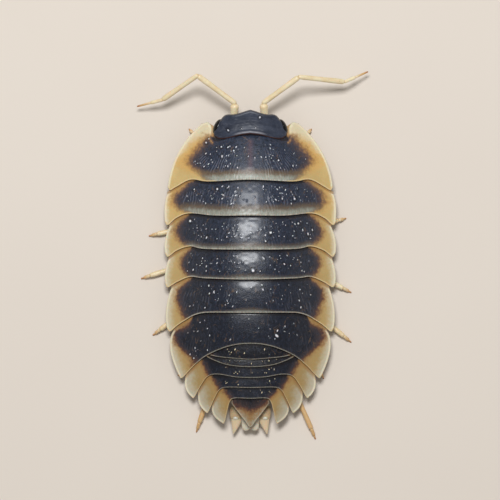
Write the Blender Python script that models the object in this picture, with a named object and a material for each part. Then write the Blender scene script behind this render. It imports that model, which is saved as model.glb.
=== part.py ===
"""A large woodlouse at life size, standing on the ground with its antennae spread.

Metres, +Z up. The head looks along +Y, the midline lies on X = 0 and the feet stand on Z = 0.
Sizes are named in millimetres, and each mesh is scaled to metres when it is made.
"""

import math
from collections import namedtuple

import bmesh
import bpy
import numpy as np
from mathutils import Matrix, Vector

MM = 0.001

# Room between pieces that touch
GAP = 0.30
BAND_GAP = 0.18
EYE_GAP = 0.22

# The shell as one low dome, by place along the body: half width, and the heights of its ridge, of its
# side edges and of the belly
HALF_WIDTH = ((12.0, 3.4), (10.2, 4.25), (8.2, 5.4), (5.4, 6.4), (0.0, 6.6), (-5.0, 6.4),
              (-8.0, 5.8), (-10.0, 4.9), (-11.5, 3.8), (-13.2, 2.4))
RIDGE = ((12.0, 3.1), (9.2, 3.75), (5.8, 4.55), (0.5, 5.0), (-3.5, 4.85), (-6.6, 4.3),
         (-9.2, 3.35), (-10.8, 2.7), (-13.2, 1.8))
EDGE = ((12.0, 1.6), (9.0, 1.45), (3.0, 1.3), (-5.0, 1.3), (-13.2, 1.2))
BELLY = ((12.0, 1.9), (-5.5, 1.9), (-9.0, 1.7), (-13.2, 1.45))

# The dome's cross-section, and each plate's raised rear lip, sunken front and forward-leaning walls
DOME_POWER = 1.35
EDGE_DROOP = 0.14
LIP_LIFT = 0.13
FRONT_DIP = 0.08
LEAN = 0.40

# Side plates: where the belly ends and the thin plate begins, as shares of the half width
SHELL_THICK = 0.55
EDGE_THICK = 0.35
EDGE_START = 0.70
BELLY_SHARE = 0.46
EPIMERON_SHARE = 0.64

# Gill flaps: swellings under the tail segments, a pair on each, deepest at the rear
FLAP_DROP = 0.28
FLAP_FRONT = 0.4
FLAP_INNER = (0.1, 0.5)
FLAP_OUTER = (1.6, 2.3)

# Each plate: rear margin on the midline, half of that margin as (x, y from it) out to where its rounded
# corner meets the side, where the side starts at the front, and the point its side curve bends towards
Plate = namedtuple("Plate", "name rear margin side_x bend gap")
PEREON = (
    Plate("pereonite_1", 5.79, ((3.1, -0.12), (4.5, 0.03), (5.6, -0.5), (6.08, -0.76), (6.27, -0.5)),
          3.7, (5.95, 8.14), GAP),
    Plate("pereonite_2", 3.09, ((2.65, 0.0), (4.6, 0.17), (5.6, -0.17), (6.25, -0.7), (6.49, -0.48)),
          6.30, (6.62, 4.1), GAP),
    Plate("pereonite_3", 0.51, ((3.4, 0.06), (4.55, 0.25), (5.55, -0.05), (6.22, -0.53), (6.45, -0.32)),
          6.13, (6.68, 1.1), GAP),
    Plate("pereonite_4", -1.74, ((3.4, 0.09), (4.55, 0.19), (5.55, -0.2), (6.24, -0.6), (6.45, -0.38)),
          6.20, (6.60, -1.2), GAP),
    Plate("pereonite_5", -4.25, ((1.6, 0.01), (2.8, 0.01), (3.6, -0.03), (4.3, -0.23), (4.95, -0.6),
          (5.55, -1.0), (6.1, -1.45), (6.33, -1.2)), 5.98, (6.62, -4.0), GAP),
    Plate("pereonite_6", -6.59, ((1.6, -0.2), (3.2, -0.86), (4.2, -1.63), (5.16, -2.62), (5.42, -2.45)),
          5.83, (6.55, -6.7), GAP),
)
PLEON = (
    Plate("pleonite_1", -7.79, ((1.5, 0.1), (2.45, 0.2)), 2.45, None, GAP),
    Plate("pleonite_2", -8.36, ((1.6, 0.13), (2.7, 0.48)), 2.70, None, BAND_GAP),
    Plate("pleonite_3", -9.18, ((1.15, 0.05), (2.4, 0.25), (3.2, 0.1), (3.75, -0.62), (4.26, -1.53),
          (4.46, -1.48)), 4.9, (5.18, -10.1), BAND_GAP),
    Plate("pleonite_4", -9.95, ((1.8, 0.03), (2.35, -0.2), (2.75, -0.9), (3.2, -1.88), (3.41, -1.85)),
          3.97, (4.08, -11.3), BAND_GAP),
    Plate("pleonite_5", -10.77, ((1.2, 0.02), (1.55, -0.25), (1.72, -0.85), (1.97, -1.85), (2.16, -1.85)),
          2.92, (3.05, -12.1), BAND_GAP),
)
END_CLEAR = 0.35
RUN_OUT = 2.0
FRONT_STEPS = 80

# Under the rear of the sixth plate, by share of its length: the belly stops and the seventh ring runs
SIXTH_BELLY_END = 0.44
SIXTH_SHELL_START = 0.46
SEVENTH_RING = (0.61, 0.98)
SEVENTH_REACH = 0.50
SEVENTH_GAP = 0.38

# First plate's front edge, which wraps round the head
HEAD_SOCKET = ((0.0, 9.0), (1.2, 8.9), (2.3, 8.62), (2.9, 8.66), (3.1, 9.15), (3.08, 9.75),
               (3.1, 10.08), (3.26, 10.2), (3.7, 10.06))

# Head, seen from above, as half outlines
HEAD_FRONT = ((0.0, 11.12), (0.42, 11.0), (0.9, 10.84), (1.3, 10.77), (1.7, 10.77), (1.95, 10.69),
              (2.13, 10.52), (2.24, 10.36))
HEAD_REAR = ((0.0, 9.33), (1.2, 9.22), (2.0, 9.03), (2.5, 8.93))
HEAD_BEND = (3.05, 9.4)
HEAD_TOP = ((11.4, 2.85), (10.9, 3.1), (10.0, 3.5), (9.2, 3.72))
HEAD_REACH = 2.7
HEAD_SIDE_DROP = 0.95
HEAD_SIDE_POWER = 2.4
HEAD_ROWS = (0.0, 0.08, 0.3, 0.6, 0.85, 1.0)
CHIN_HEIGHT = 1.45
CHIN_REAR = 9.05
CHIN_LENGTH = 0.55
CHIN_WIDTH = 0.80
CHIN_SIDE = (1.4, 2.6)
CHIN_SIDE_RISE = 0.35
MOUTH_GROOVE = (0.14, 0.18)
MOUTH_SWELLING = (0.16, 0.5)
MOUTH_SPREAD = 0.75

EYE_CENTRE = (2.45, 9.82, 2.36)
EYE_RADII = (0.31, 0.60, 0.42)
EYE_TURN = 24
FACET_RISE = 1.05
SAME_PLACE = 1e-3

TELSON_EDGE = ((1.42, -11.15), (0.9, -11.85), (0.42, -12.45), (0.14, -12.86), (0.0, -12.93))
TELSON_RIDGE = ((-10.5, 2.72), (-11.7, 2.2), (-13.0, 1.78))
TELSON_CROWN = 0.22
TELSON_ROOT_THICK = 1.0
TELSON_TIP_THICK = 0.32
TELSON_TIP_REACH = 0.2
TELSON_ROOT_SHARE = 0.5
TELSON_SIDE_THIN = 0.5

# Antennae as joints from the head outwards, with the radii of each article
ANTENNA_LEFT = ((-1.25, 10.8, 2.02), (-1.17, 11.62, 2.4), (-4.0, 13.7, 3.3), (-6.69, 11.88, 1.75),
                (-8.62, 11.4, 0.95))
ANTENNA_RIGHT = ((1.1, 10.8, 2.02), (1.0, 11.64, 2.4), (3.69, 13.59, 3.3), (7.16, 13.25, 1.75),
                 (8.96, 14.05, 0.95))
ANTENNA_ARTICLES = (("base", 0.34, 0.31), ("arm", 0.29, 0.26), ("forearm", 0.26, 0.25),
                    ("flagellum", 0.23, 0.05))
# Swelling of an article: share of its length, share of its radius
ANTENNA_SWELL = ((0.0, 0.62), (0.08, 0.94), (0.45, 0.92), (0.85, 1.06), (0.96, 0.94), (1.0, 0.60))
ARTICLE_END = 0.16

# Feet on the ground as (x, y), from the first pair to the last, and the roots and knees they hang from
FEET_LEFT = ((-4.68, 9.72), (-5.9, 6.3), (-7.74, 1.55), (-8.33, -1.7), (-7.44, -6.02), (-5.5, -9.1),
             (-4.11, -13.4))
FEET_RIGHT = ((4.68, 9.72), (5.9, 6.1), (7.32, 2.91), (7.7, -2.76), (7.7, -6.55), (5.6, -9.3),
              (4.97, -13.93))
LEG_ROOT_X = (3.15, 3.15, 3.15, 3.15, 3.15, 3.15, 2.05)
LEG_ROOT_Y = (7.35, 4.9, 2.35, 0.0, -2.05, -3.85, -5.65)
LEG_ROOT_Z = 1.57
KNEE_X = (1.55, 1.55, 1.55, 1.55, 1.7, 1.9, 1.15)
KNEE_Z = 1.02
KNEE_SWING = 0.12
# Basis, the article from root to knee: share of the way, sag below the straight line, radius
BASIS = ((0.0, 0.0, 0.26), (0.08, 0.1, 0.26), (0.45, 0.05, 0.30), (1.0, 0.0, 0.27), (1.08, 0.0, 0.16))
# Articles beyond the knee: share of the way to the foot, height of the joint, thickest radius
LEG_ARTICLES = ((0.17, 0.82, 0.27), (0.33, 0.64, 0.28), (0.52, 0.50, 0.26), (0.90, 0.40, 0.22),
                (1.00, 0.00, 0.15))
LEG_BOW = 0.30
FOOT_RADIUS = 0.11
# Each of those articles: share of its length, share of its radius
ARTICLE_SWELL = ((0.0, 0.82), (0.35, 1.0), (0.75, 0.96))

# Uropods: joints and (half width, half height) of the stem, the outer spike and the inner rod, right side
UROPOD_STEM = (((1.02, -11.35, 0.96), (1.06, -11.8, 0.97), (1.06, -12.4, 0.95)),
               ((0.40, 0.24), (0.50, 0.27), (0.44, 0.25)))
UROPOD_OUTER = (((1.05, -12.25, 0.93), (1.07, -12.52, 0.90), (1.16, -13.02, 0.84), (1.26, -13.5, 0.78)),
                ((0.36, 0.20), (0.42, 0.22), (0.23, 0.16), (0.05, 0.05)))
UROPOD_INNER = (((0.85, -11.9, 0.93), (0.46, -12.5, 0.93), (0.37, -13.0, 0.93), (0.36, -13.2, 0.93)),
                ((0.18, 0.16), (0.21, 0.16), (0.23, 0.16), (0.15, 0.10)))

# Fineness of the meshes
HALF_COLUMNS = 15
PLATE_ROWS = (0.0, 0.14, 0.36, 0.62, 0.85, 1.0)
BAND_ROWS = (0.0, 0.5, 1.0)
SHARP_ANGLE = 40
SIXTH_ROWS = (0.0, 0.22, SIXTH_BELLY_END, SIXTH_SHELL_START, 0.66, 0.85, 1.0)
CORNER_CROWDING = 1.5
CURVE_STEPS = 24
LIMB_SIDES = 8
ANTENNA_SIDES = 9
UROPOD_SIDES = 10

SHELL_COLOUR = ((0.035, 0.042, 0.058), 0.35)
HORN_COLOUR = ((0.55, 0.42, 0.24), 0.45)
LIMB_COLOUR = ((0.72, 0.63, 0.45), 0.45)
EYE_COLOUR = ((0.01, 0.01, 0.012), 0.15)


def clear_scene():
    for obj in list(bpy.data.objects):
        bpy.data.objects.remove(obj)


def through(points):
    """A smooth line through the points, as an array of close places."""
    p = np.array(points, float)
    p = np.vstack([2 * p[0] - p[1], p, 2 * p[-1] - p[-2]])
    t = np.linspace(0, 1, CURVE_STEPS, endpoint=False)[:, None]
    spans = []
    for a, b, c, d in zip(p, p[1:], p[2:], p[3:]):
        spans.append(0.5 * (2 * b + (c - a) * t + (2 * a - 5 * b + 4 * c - d) * t**2
                            + (3 * b - a - 3 * c + d) * t**3))
    return np.vstack(spans + [p[-2:-1]])


def along(line, shares):
    """Places on a line at the given shares of its length."""
    steps = np.linalg.norm(np.diff(line, axis=0), axis=1)
    run = np.concatenate([[0], np.cumsum(steps)])
    run = run / run[-1]
    return np.column_stack([np.interp(shares, run, line[:, i]) for i in range(line.shape[1])])


def profile(points):
    """A function of y that runs smoothly through (y, value) points."""
    line = through(points)[::-1]
    return lambda y: np.interp(y, line[:, 0], line[:, 1])


half_width = profile(HALF_WIDTH)
ridge = profile(RIDGE)
edge_height = profile(EDGE)
belly = profile(BELLY)
head_top = profile(HEAD_TOP)
telson_ridge = profile(TELSON_RIDGE)


def ease(low, high, value):
    t = np.clip((value - low) / (high - low), 0, 1)
    return t * t * (3 - 2 * t)


def mound(x, height, spread):
    return height * np.exp(-((x / spread) ** 2))


def shell_height(x, y):
    """Height of the shell's dome: convex over the middle and flared towards the side edges."""
    t = np.clip(np.abs(x) / half_width(y), 0, 1)
    dome = (1 - EDGE_DROOP) * 0.5 * (1 + np.cos(math.pi * t**DOME_POWER)) + EDGE_DROOP * (1 - t**2)
    return edge_height(y) + (ridge(y) - edge_height(y)) * dome


def belly_height(x, y, top):
    """Height of the underside: a flat belly, then the thin side plates."""
    t = np.abs(x) / half_width(y)
    thick = SHELL_THICK + (EDGE_THICK - SHELL_THICK) * ease(EDGE_START, 1.0, t)
    return belly(y) + (top - thick - belly(y)) * ease(BELLY_SHARE, EPIMERON_SHARE, t)


def half_margin(plate, corner=True):
    """Rear margin of a plate from the midline outwards, with or without its rounded corner."""
    points = plate.margin if corner else plate.margin[:-1]
    line = through([(-points[0][0], points[0][1]), (0.0, 0.0)] + list(points))
    line = line[CURVE_STEPS:]
    line[:, 1] += plate.rear
    return line


def set_back(line, gap, side_x):
    """The line moved rearwards by the gap, square to itself, and run out to x = side_x."""
    way = np.gradient(line, axis=0)
    way /= np.linalg.norm(way, axis=1)[:, None]
    moved = line + gap * np.column_stack([way[:, 1], -way[:, 0]])
    moved[0, 0] = 0.0
    moved = np.vstack([moved, moved[-1] + way[-1] * RUN_OUT])
    moved = moved[moved[:, 0].argsort(kind="stable")]
    end = (side_x, np.interp(side_x, moved[:, 0], moved[:, 1]))
    return np.vstack([moved[moved[:, 0] < side_x], end])


def front_behind(plates, gap, side_x):
    """Front edge of the plate that follows: behind the rearmost of the margins given."""
    slant_gap = gap * math.hypot(1, LEAN)
    lines = [set_back(half_margin(p, p.bend is None), slant_gap, side_x) for p in plates]
    if len(lines) == 1:
        return lines[0]
    x = np.linspace(0, side_x, FRONT_STEPS)
    reach = plates[0].margin[-1][0] + END_CLEAR
    inner = np.where(x <= reach, np.interp(x, lines[0][:, 0], lines[0][:, 1]), np.inf)
    outer = np.interp(x, lines[1][:, 0], lines[1][:, 1])
    return np.column_stack([x, np.minimum(inner, outer)])


def plan(front, rear, bend, rows):
    """Grid of (x, y) over half a plate, between its front edge, rear margin and bent side."""
    count = HALF_COLUMNS
    u = 1 - (1 - np.arange(count + 1) / count) ** CORNER_CROWDING
    f, r = along(front, u), along(rear, u)
    grid = []
    for v in rows:
        straight = (1 - v) * f[-1] + v * r[-1]
        side = straight
        if bend is not None:
            side = (1 - v) ** 2 * f[-1] + 2 * v * (1 - v) * np.array(bend) + v * v * r[-1]
        grid.append((1 - v) * f + v * r + u[:, None] * (side - straight))
    return np.array(grid)


def both_sides(half):
    """A half grid joined to its mirror image, from the left side to the right."""
    left = half[:, :0:-1] * np.array([-1] + [1] * (half.shape[2] - 1))
    return np.concatenate([left, half], axis=1)


def new_object(name, mesh_builder, colour):
    bm = bmesh.new()
    mesh_builder(bm)
    bmesh.ops.scale(bm, vec=(MM, MM, MM), verts=bm.verts)
    bmesh.ops.recalc_face_normals(bm, faces=bm.faces)
    if bm.calc_volume(signed=True) < 0:
        bmesh.ops.reverse_faces(bm, faces=bm.faces)
    mesh = bpy.data.meshes.new(name)
    bm.to_mesh(mesh)
    bm.free()
    mesh.shade_smooth()
    mesh.set_sharp_from_angle(angle=math.radians(SHARP_ANGLE))
    obj = bpy.data.objects.new(name, mesh)
    bpy.context.scene.collection.objects.link(obj)
    obj.data.materials.append(make_material(name, colour))
    return obj


def make_material(name, colour):
    material = bpy.data.materials.new(name)
    material.use_nodes = True
    shader = material.node_tree.nodes["Principled BSDF"]
    shader.inputs["Base Color"].default_value = (*colour[0], 1)
    shader.inputs["Roughness"].default_value = colour[1]
    shader.inputs["Metallic"].default_value = 0.0
    return material


def add_slab(bm, top, bottom):
    """A closed solid between two grids of points of the same size."""
    upper = [[bm.verts.new(p) for p in row] for row in top]
    lower = [[bm.verts.new(p) for p in row] for row in bottom]
    rows, columns = len(upper), len(upper[0])
    for j in range(rows - 1):
        for i in range(columns - 1):
            bm.faces.new((upper[j][i], upper[j][i + 1], upper[j + 1][i + 1], upper[j + 1][i]))
            bm.faces.new((lower[j][i], lower[j + 1][i], lower[j + 1][i + 1], lower[j][i + 1]))
    rim = [(0, i) for i in range(columns)] + [(j, columns - 1) for j in range(1, rows)]
    rim += [(rows - 1, i) for i in range(columns - 2, -1, -1)] + [(j, 0) for j in range(rows - 2, 0, -1)]
    for (j, i), (k, m) in zip(rim, rim[1:] + rim[:1]):
        bm.faces.new((upper[j][i], lower[j][i], lower[k][m], upper[k][m]))


def lifted(xy, rows):
    """Shell heights over a plan, each plate dipping at its front and rising to its rear lip."""
    v = np.array(rows)[:, None]
    return shell_height(xy[..., 0], xy[..., 1]) + LIP_LIFT * v**2 - FRONT_DIP * (1 - v) ** 2


def leaning(xy, top, z, lean):
    """Points below a plan, moved forward with their depth so that each plate overhangs the next."""
    return np.dstack([xy[..., 0], xy[..., 1] + lean * (top - z), z])


def plate_front(index):
    """Front edge of a pereon plate."""
    if index == 0:
        return through(HEAD_SOCKET)
    plate = PEREON[index]
    return front_behind([PEREON[index - 1]], plate.gap, plate.side_x)


def pereon_plan(index, rows):
    plate = PEREON[index]
    return both_sides(plan(plate_front(index), half_margin(plate), plate.bend, rows))


def make_pereonite(index):
    last = index == len(PEREON) - 1
    rows = SIXTH_ROWS if last else PLATE_ROWS
    xy = pereon_plan(index, rows)
    top = lifted(xy, rows)
    low = belly_height(xy[..., 0], xy[..., 1], top)
    lean = np.full((len(rows), 1), LEAN)
    if index == 0:
        lean = LEAN * np.array(rows)[:, None]
    if last:
        thin = np.array(rows)[:, None] >= SIXTH_SHELL_START
        edge = np.minimum(SHELL_THICK, top - low)
        low = np.where(thin, top - edge, low)
    plate = PEREON[index]
    new_object(plate.name, lambda bm: add_slab(bm, np.dstack([xy, top]), leaning(xy, top, low, lean)),
               SHELL_COLOUR)


def make_seventh_ring():
    """Short ring hidden under the rear of the sixth plate, which carries the last pair of legs."""
    share = np.linspace(*SEVENTH_RING, 4)
    xy = pereon_plan(len(PEREON) - 1, share)
    keep = np.abs(np.linspace(-1, 1, xy.shape[1])) <= SEVENTH_REACH
    xy = xy[:, keep]
    shell = lifted(xy, share)
    top = shell - SHELL_THICK - SEVENTH_GAP
    low = np.minimum(belly(xy[..., 1]), top - EDGE_THICK)
    new_object("pereonite_7", lambda bm: add_slab(bm, leaning(xy, shell, top, LEAN),
                                                  leaning(xy, shell, low, LEAN)), SHELL_COLOUR)


def make_pleonite(index):
    plate = PLEON[index]
    before = {0: [PEREON[-1]], 2: [PLEON[1], PEREON[-1]]}.get(index, [PLEON[index - 1]])
    rows = BAND_ROWS if plate.bend is None else PLATE_ROWS
    front = front_behind(before, plate.gap, plate.side_x)
    xy = both_sides(plan(front, half_margin(plate), plate.bend, rows))
    top = lifted(xy, rows)
    low = belly_height(xy[..., 0], xy[..., 1], top)
    v = np.array(rows)[:, None]
    x = np.abs(xy[..., 0])
    flap = ease(*FLAP_INNER, x) * (1 - ease(*FLAP_OUTER, x))
    low = low - FLAP_DROP * flap * (FLAP_FRONT + (1 - FLAP_FRONT) * v)
    new_object(plate.name, lambda bm: add_slab(bm, np.dstack([xy, top]), leaning(xy, top, low, LEAN)),
               SHELL_COLOUR)


def make_telson():
    """Three-sided tail plate, thin at its tip, with a blunt keel."""
    front = front_behind([PLEON[-1]], BAND_GAP, TELSON_EDGE[0][0])
    rear = through(TELSON_EDGE)[::-1]
    xy = both_sides(plan(front, rear, None, PLATE_ROWS))
    v = np.array(PLATE_ROWS)[:, None]
    reach = np.maximum(np.abs(xy[..., 0]).max(axis=1), TELSON_TIP_REACH)[:, None]
    top = telson_ridge(xy[..., 1]) - TELSON_CROWN * (xy[..., 0] / reach) ** 2
    thick = TELSON_ROOT_THICK + (TELSON_TIP_THICK - TELSON_ROOT_THICK) * ease(0.0, TELSON_ROOT_SHARE, v)
    low = top - np.maximum(thick - TELSON_SIDE_THIN * np.abs(xy[..., 0]), TELSON_TIP_THICK)
    new_object("pleotelson", lambda bm: add_slab(bm, np.dstack([xy, top]), leaning(xy, top, low, LEAN)),
               HORN_COLOUR)


def make_head():
    """Head capsule with its three front lobes, and the mouthparts as two swellings below."""
    xy = both_sides(plan(through(HEAD_FRONT), through(HEAD_REAR), HEAD_BEND, HEAD_ROWS))
    x, y = xy[..., 0], xy[..., 1]
    top = head_top(y) - HEAD_SIDE_DROP * (np.abs(x) / HEAD_REACH) ** HEAD_SIDE_POWER
    chin_y = np.where(y > CHIN_REAR, CHIN_REAR + (y - CHIN_REAR) * CHIN_LENGTH, y)
    mouth = mound(x, *MOUTH_GROOVE) - mound(np.abs(x) - MOUTH_SPREAD, *MOUTH_SWELLING)
    low = CHIN_HEIGHT + mouth + CHIN_SIDE_RISE * ease(*CHIN_SIDE, np.abs(x))
    base = np.dstack([x * CHIN_WIDTH, chin_y, low])
    head = new_object("head", lambda bm: add_slab(bm, np.dstack([xy, top]), base), SHELL_COLOUR)
    for side in (-1, 1):
        socket = new_object("socket", lambda bm: add_eye(bm, side, EYE_GAP, 1.0), EYE_COLOUR)
        combine(head, [socket], "DIFFERENCE", "MANIFOLD")


def add_eye(bm, side, extra, rise):
    """An oval eye whose facets stand as small rounded points."""
    made = bmesh.ops.create_icosphere(bm, subdivisions=3, radius=1.0)["verts"]
    coarse = bmesh.new()
    bmesh.ops.create_icosphere(coarse, subdivisions=2, radius=1.0)
    peaks = np.array([v.co for v in coarse.verts])
    coarse.free()
    radii = Vector(EYE_RADII) + Vector((extra, extra, extra))
    turn = Matrix.Rotation(math.radians(EYE_TURN * side), 3, "Z")
    centre = Vector((side * EYE_CENTRE[0], EYE_CENTRE[1], EYE_CENTRE[2]))
    for v in made:
        if np.linalg.norm(peaks - np.array(v.co), axis=1).min() < SAME_PLACE:
            v.co *= rise
        v.co = centre + turn @ Vector([a * b for a, b in zip(v.co, radii)])


def make_eyes():
    for name, side in (("eye_left", -1), ("eye_right", 1)):
        new_object(name, lambda bm: add_eye(bm, side, 0.0, FACET_RISE), EYE_COLOUR)


def combine(obj, others, operation, solver="EXACT"):
    """One Boolean of obj with a collection of other objects, applied, keeping the largest closed surface."""
    group = bpy.data.collections.new("pieces")
    for other in others:
        group.objects.link(other)
    step = obj.modifiers.new("join", "BOOLEAN")
    step.operation = operation
    step.solver = solver
    step.operand_type = "COLLECTION"
    step.collection = group
    graph = bpy.context.evaluated_depsgraph_get()
    mesh = bpy.data.meshes.new_from_object(obj.evaluated_get(graph))
    obj.modifiers.clear()
    obj.data = mesh
    for other in others:
        bpy.data.objects.remove(other)
    bpy.data.collections.remove(group)
    keep_largest(obj)


def keep_largest(obj):
    """Drops every closed surface of the mesh but the largest."""
    bm = bmesh.new()
    bm.from_mesh(obj.data)
    unseen = set(bm.verts)
    shells = []
    while unseen:
        shell, stack = set(), [unseen.pop()]
        while stack:
            vert = stack.pop()
            shell.add(vert)
            for edge in vert.link_edges:
                other = edge.other_vert(vert)
                if other in unseen:
                    unseen.remove(other)
                    stack.append(other)
        shells.append(shell)
    shells.sort(key=len)
    for shell in shells[:-1]:
        bmesh.ops.delete(bm, geom=list(shell), context="VERTS")
    bm.to_mesh(obj.data)
    bm.free()


def add_tube(bm, path, radii, sides, level_ends=(False, False)):
    """A closed tube along a path. Each radius is a number or (half width, half height)."""
    path = [Vector(p) for p in path]
    rings = []
    for n, (place, radius) in enumerate(zip(path, radii)):
        way = (path[min(n + 1, len(path) - 1)] - path[max(n - 1, 0)]).normalized()
        if (n == 0 and level_ends[0]) or (n == len(path) - 1 and level_ends[1]):
            across, up = level_axes(way)
        else:
            across = way.cross(Vector((0, 0, 1))).normalized()
            up = across.cross(way)
        wide, high = radius if isinstance(radius, tuple) else (radius, radius)
        ring = []
        for k in range(sides):
            a = 2 * math.pi * (k + 0.5) / sides
            ring.append(bm.verts.new(place + wide * math.cos(a) * across + high * math.sin(a) * up))
        rings.append(ring)
    for ring, after in zip(rings, rings[1:]):
        for k in range(sides):
            m = (k + 1) % sides
            bm.faces.new((ring[k], ring[m], after[m], after[k]))
    bm.faces.new(rings[0])
    bm.faces.new(rings[-1][::-1])


def level_axes(way):
    """Axes of a level ring that runs on from a ring square to the given direction."""
    across = way.cross(Vector((0, 0, 1))).normalized()
    up = Vector((0, 0, 1)).cross(across)
    return across, up if way.z < 0 else -up


def article(start, end, first, last):
    """Path and radii of one antenna article, drawn in at both ends and swollen before its far joint."""
    path = [start.lerp(end, share) for share, _ in ANTENNA_SWELL]
    return path, [swell * (first + (last - first) * share) for share, swell in ANTENNA_SWELL]


def joint_clearance(before, joint, after):
    """How far two articles stop short of their joint, so that the rims of their ends keep the gap."""
    half_turn = (joint - before).angle(after - joint) / 2
    return (GAP / 2 + ARTICLE_END * math.sin(half_turn)) / math.cos(half_turn)


def make_antenna(name, joints):
    joints = [Vector(joint) for joint in joints]
    clear = [0.0] + [joint_clearance(*joints[n - 1:n + 2]) for n in range(1, len(joints) - 1)] + [0.0]
    for n, (part, first, last) in enumerate(ANTENNA_ARTICLES):
        way = (joints[n + 1] - joints[n]).normalized()
        path, radii = article(joints[n] + way * clear[n], joints[n + 1] - way * clear[n + 1], first, last)
        new_object(f"{name}_{part}", lambda bm: add_tube(bm, path, radii, ANTENNA_SIDES), LIMB_COLOUR)


def make_leg(name, root, knee_x, foot, side):
    """A leg that runs in from its root to a knee near the midline, and out again to its foot."""
    root = Vector(root)
    foot = Vector((foot[0], foot[1], 0))
    reach = foot.y - root.y
    knee = Vector((side * knee_x, root.y + KNEE_SWING * reach, KNEE_Z))
    basis = [root + (knee - root) * share - Vector((0, 0, sag)) for share, sag, _ in BASIS]
    radii = [radius for _, _, radius in BASIS]
    leg = new_object(name, lambda bm: add_tube(bm, basis, radii, LIMB_SIDES, (True, False)), LIMB_COLOUR)
    straight = foot - knee
    bow = Vector((-straight.y, straight.x, 0)).normalized() * LEG_BOW * side * (-1 if reach > 0 else 1)
    path, widths = [], []
    share, height, thick = 0.0, KNEE_Z, LEG_ARTICLES[0][2]
    for next_share, next_height, next_thick in LEG_ARTICLES:
        for t, swell in ARTICLE_SWELL:
            s = share + (next_share - share) * t
            place = knee.lerp(foot, s) + bow * math.sin(math.pi * s)
            place.z = height + (next_height - height) * t
            path.append(place)
            widths.append(min(swell * (next_thick if t else min(thick, next_thick)), place.z))
        share, height, thick = next_share, next_height, next_thick
    path.append(foot)
    widths.append(FOOT_RADIUS)
    shin = new_object("shin", lambda bm: add_tube(bm, path, widths, LIMB_SIDES, (False, True)), LIMB_COLOUR)
    combine(leg, [shin], "UNION")


def make_legs():
    for side, word, feet in ((-1, "left", FEET_LEFT), (1, "right", FEET_RIGHT)):
        for n, (x, y, knee_x, foot) in enumerate(zip(LEG_ROOT_X, LEG_ROOT_Y, KNEE_X, feet), start=1):
            make_leg(f"leg_{word}_{n}", (side * x, y, LEG_ROOT_Z), knee_x, foot, side)


def make_uropods():
    """Tail appendages: a broad stem, a pointed outer branch and a short inner rod on each side."""
    for side, word in ((-1, "left"), (1, "right")):
        pieces = []
        for part, (path, radii) in (("stem", UROPOD_STEM), ("outer", UROPOD_OUTER), ("inner", UROPOD_INNER)):
            mirrored = [(side * x, y, z) for x, y, z in path]
            name = f"uropod_{word}" if part == "stem" else part
            tube = new_object(name, lambda bm: add_tube(bm, mirrored, radii, UROPOD_SIDES), HORN_COLOUR)
            pieces.append(tube)
        combine(pieces[0], pieces[1:], "UNION")


def main():
    clear_scene()
    make_head()
    make_eyes()
    make_antenna("antenna_left", ANTENNA_LEFT)
    make_antenna("antenna_right", ANTENNA_RIGHT)
    for index in range(len(PEREON)):
        make_pereonite(index)
    make_seventh_ring()
    for index in range(len(PLEON)):
        make_pleonite(index)
    make_telson()
    make_uropods()
    make_legs()


main()
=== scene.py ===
"""A woodlouse on a pale floor, seen from straight above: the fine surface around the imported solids.

Lengths are in millimetres and are scaled to metres as each mesh is made. The head looks along +Y.
"""

import math
from collections import namedtuple

import bmesh
import bpy
import numpy as np
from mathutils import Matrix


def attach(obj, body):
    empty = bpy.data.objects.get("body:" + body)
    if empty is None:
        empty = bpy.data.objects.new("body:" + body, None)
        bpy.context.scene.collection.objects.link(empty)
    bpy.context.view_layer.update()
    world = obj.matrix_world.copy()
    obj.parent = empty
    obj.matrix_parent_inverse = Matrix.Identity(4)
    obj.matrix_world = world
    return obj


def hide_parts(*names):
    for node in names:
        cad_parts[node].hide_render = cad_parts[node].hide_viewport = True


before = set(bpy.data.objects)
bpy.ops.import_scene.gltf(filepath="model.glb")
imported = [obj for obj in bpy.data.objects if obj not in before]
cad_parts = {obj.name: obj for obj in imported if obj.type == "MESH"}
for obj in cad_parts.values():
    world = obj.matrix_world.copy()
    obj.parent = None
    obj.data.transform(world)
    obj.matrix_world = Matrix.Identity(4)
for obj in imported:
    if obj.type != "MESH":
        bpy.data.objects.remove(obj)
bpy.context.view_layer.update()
MM = 0.001

# The shape's driving dimensions, the same as the solids have
GAP = 0.30
BAND_GAP = 0.18
HALF_WIDTH = ((12.0, 3.4), (10.2, 4.25), (8.2, 5.4), (5.4, 6.4), (0.0, 6.6), (-5.0, 6.4),
              (-8.0, 5.8), (-10.0, 4.9), (-11.5, 3.8), (-13.2, 2.4))
RIDGE = ((12.0, 3.1), (9.2, 3.75), (5.8, 4.55), (0.5, 5.0), (-3.5, 4.85), (-6.6, 4.3),
         (-9.2, 3.35), (-10.8, 2.7), (-13.2, 1.8))
EDGE = ((12.0, 1.6), (9.0, 1.45), (3.0, 1.3), (-5.0, 1.3), (-13.2, 1.2))
BELLY = ((12.0, 1.9), (-5.5, 1.9), (-9.0, 1.7), (-13.2, 1.45))
DOME_POWER = 1.35
EDGE_DROOP = 0.14
LIP_LIFT = 0.13
FRONT_DIP = 0.08
LEAN = 0.40
BELLY_SHARE = 0.46
EPIMERON_SHARE = 0.64
END_CLEAR = 0.35
RUN_OUT = 2.0
FRONT_STEPS = 80
CURVE_STEPS = 24

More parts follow.
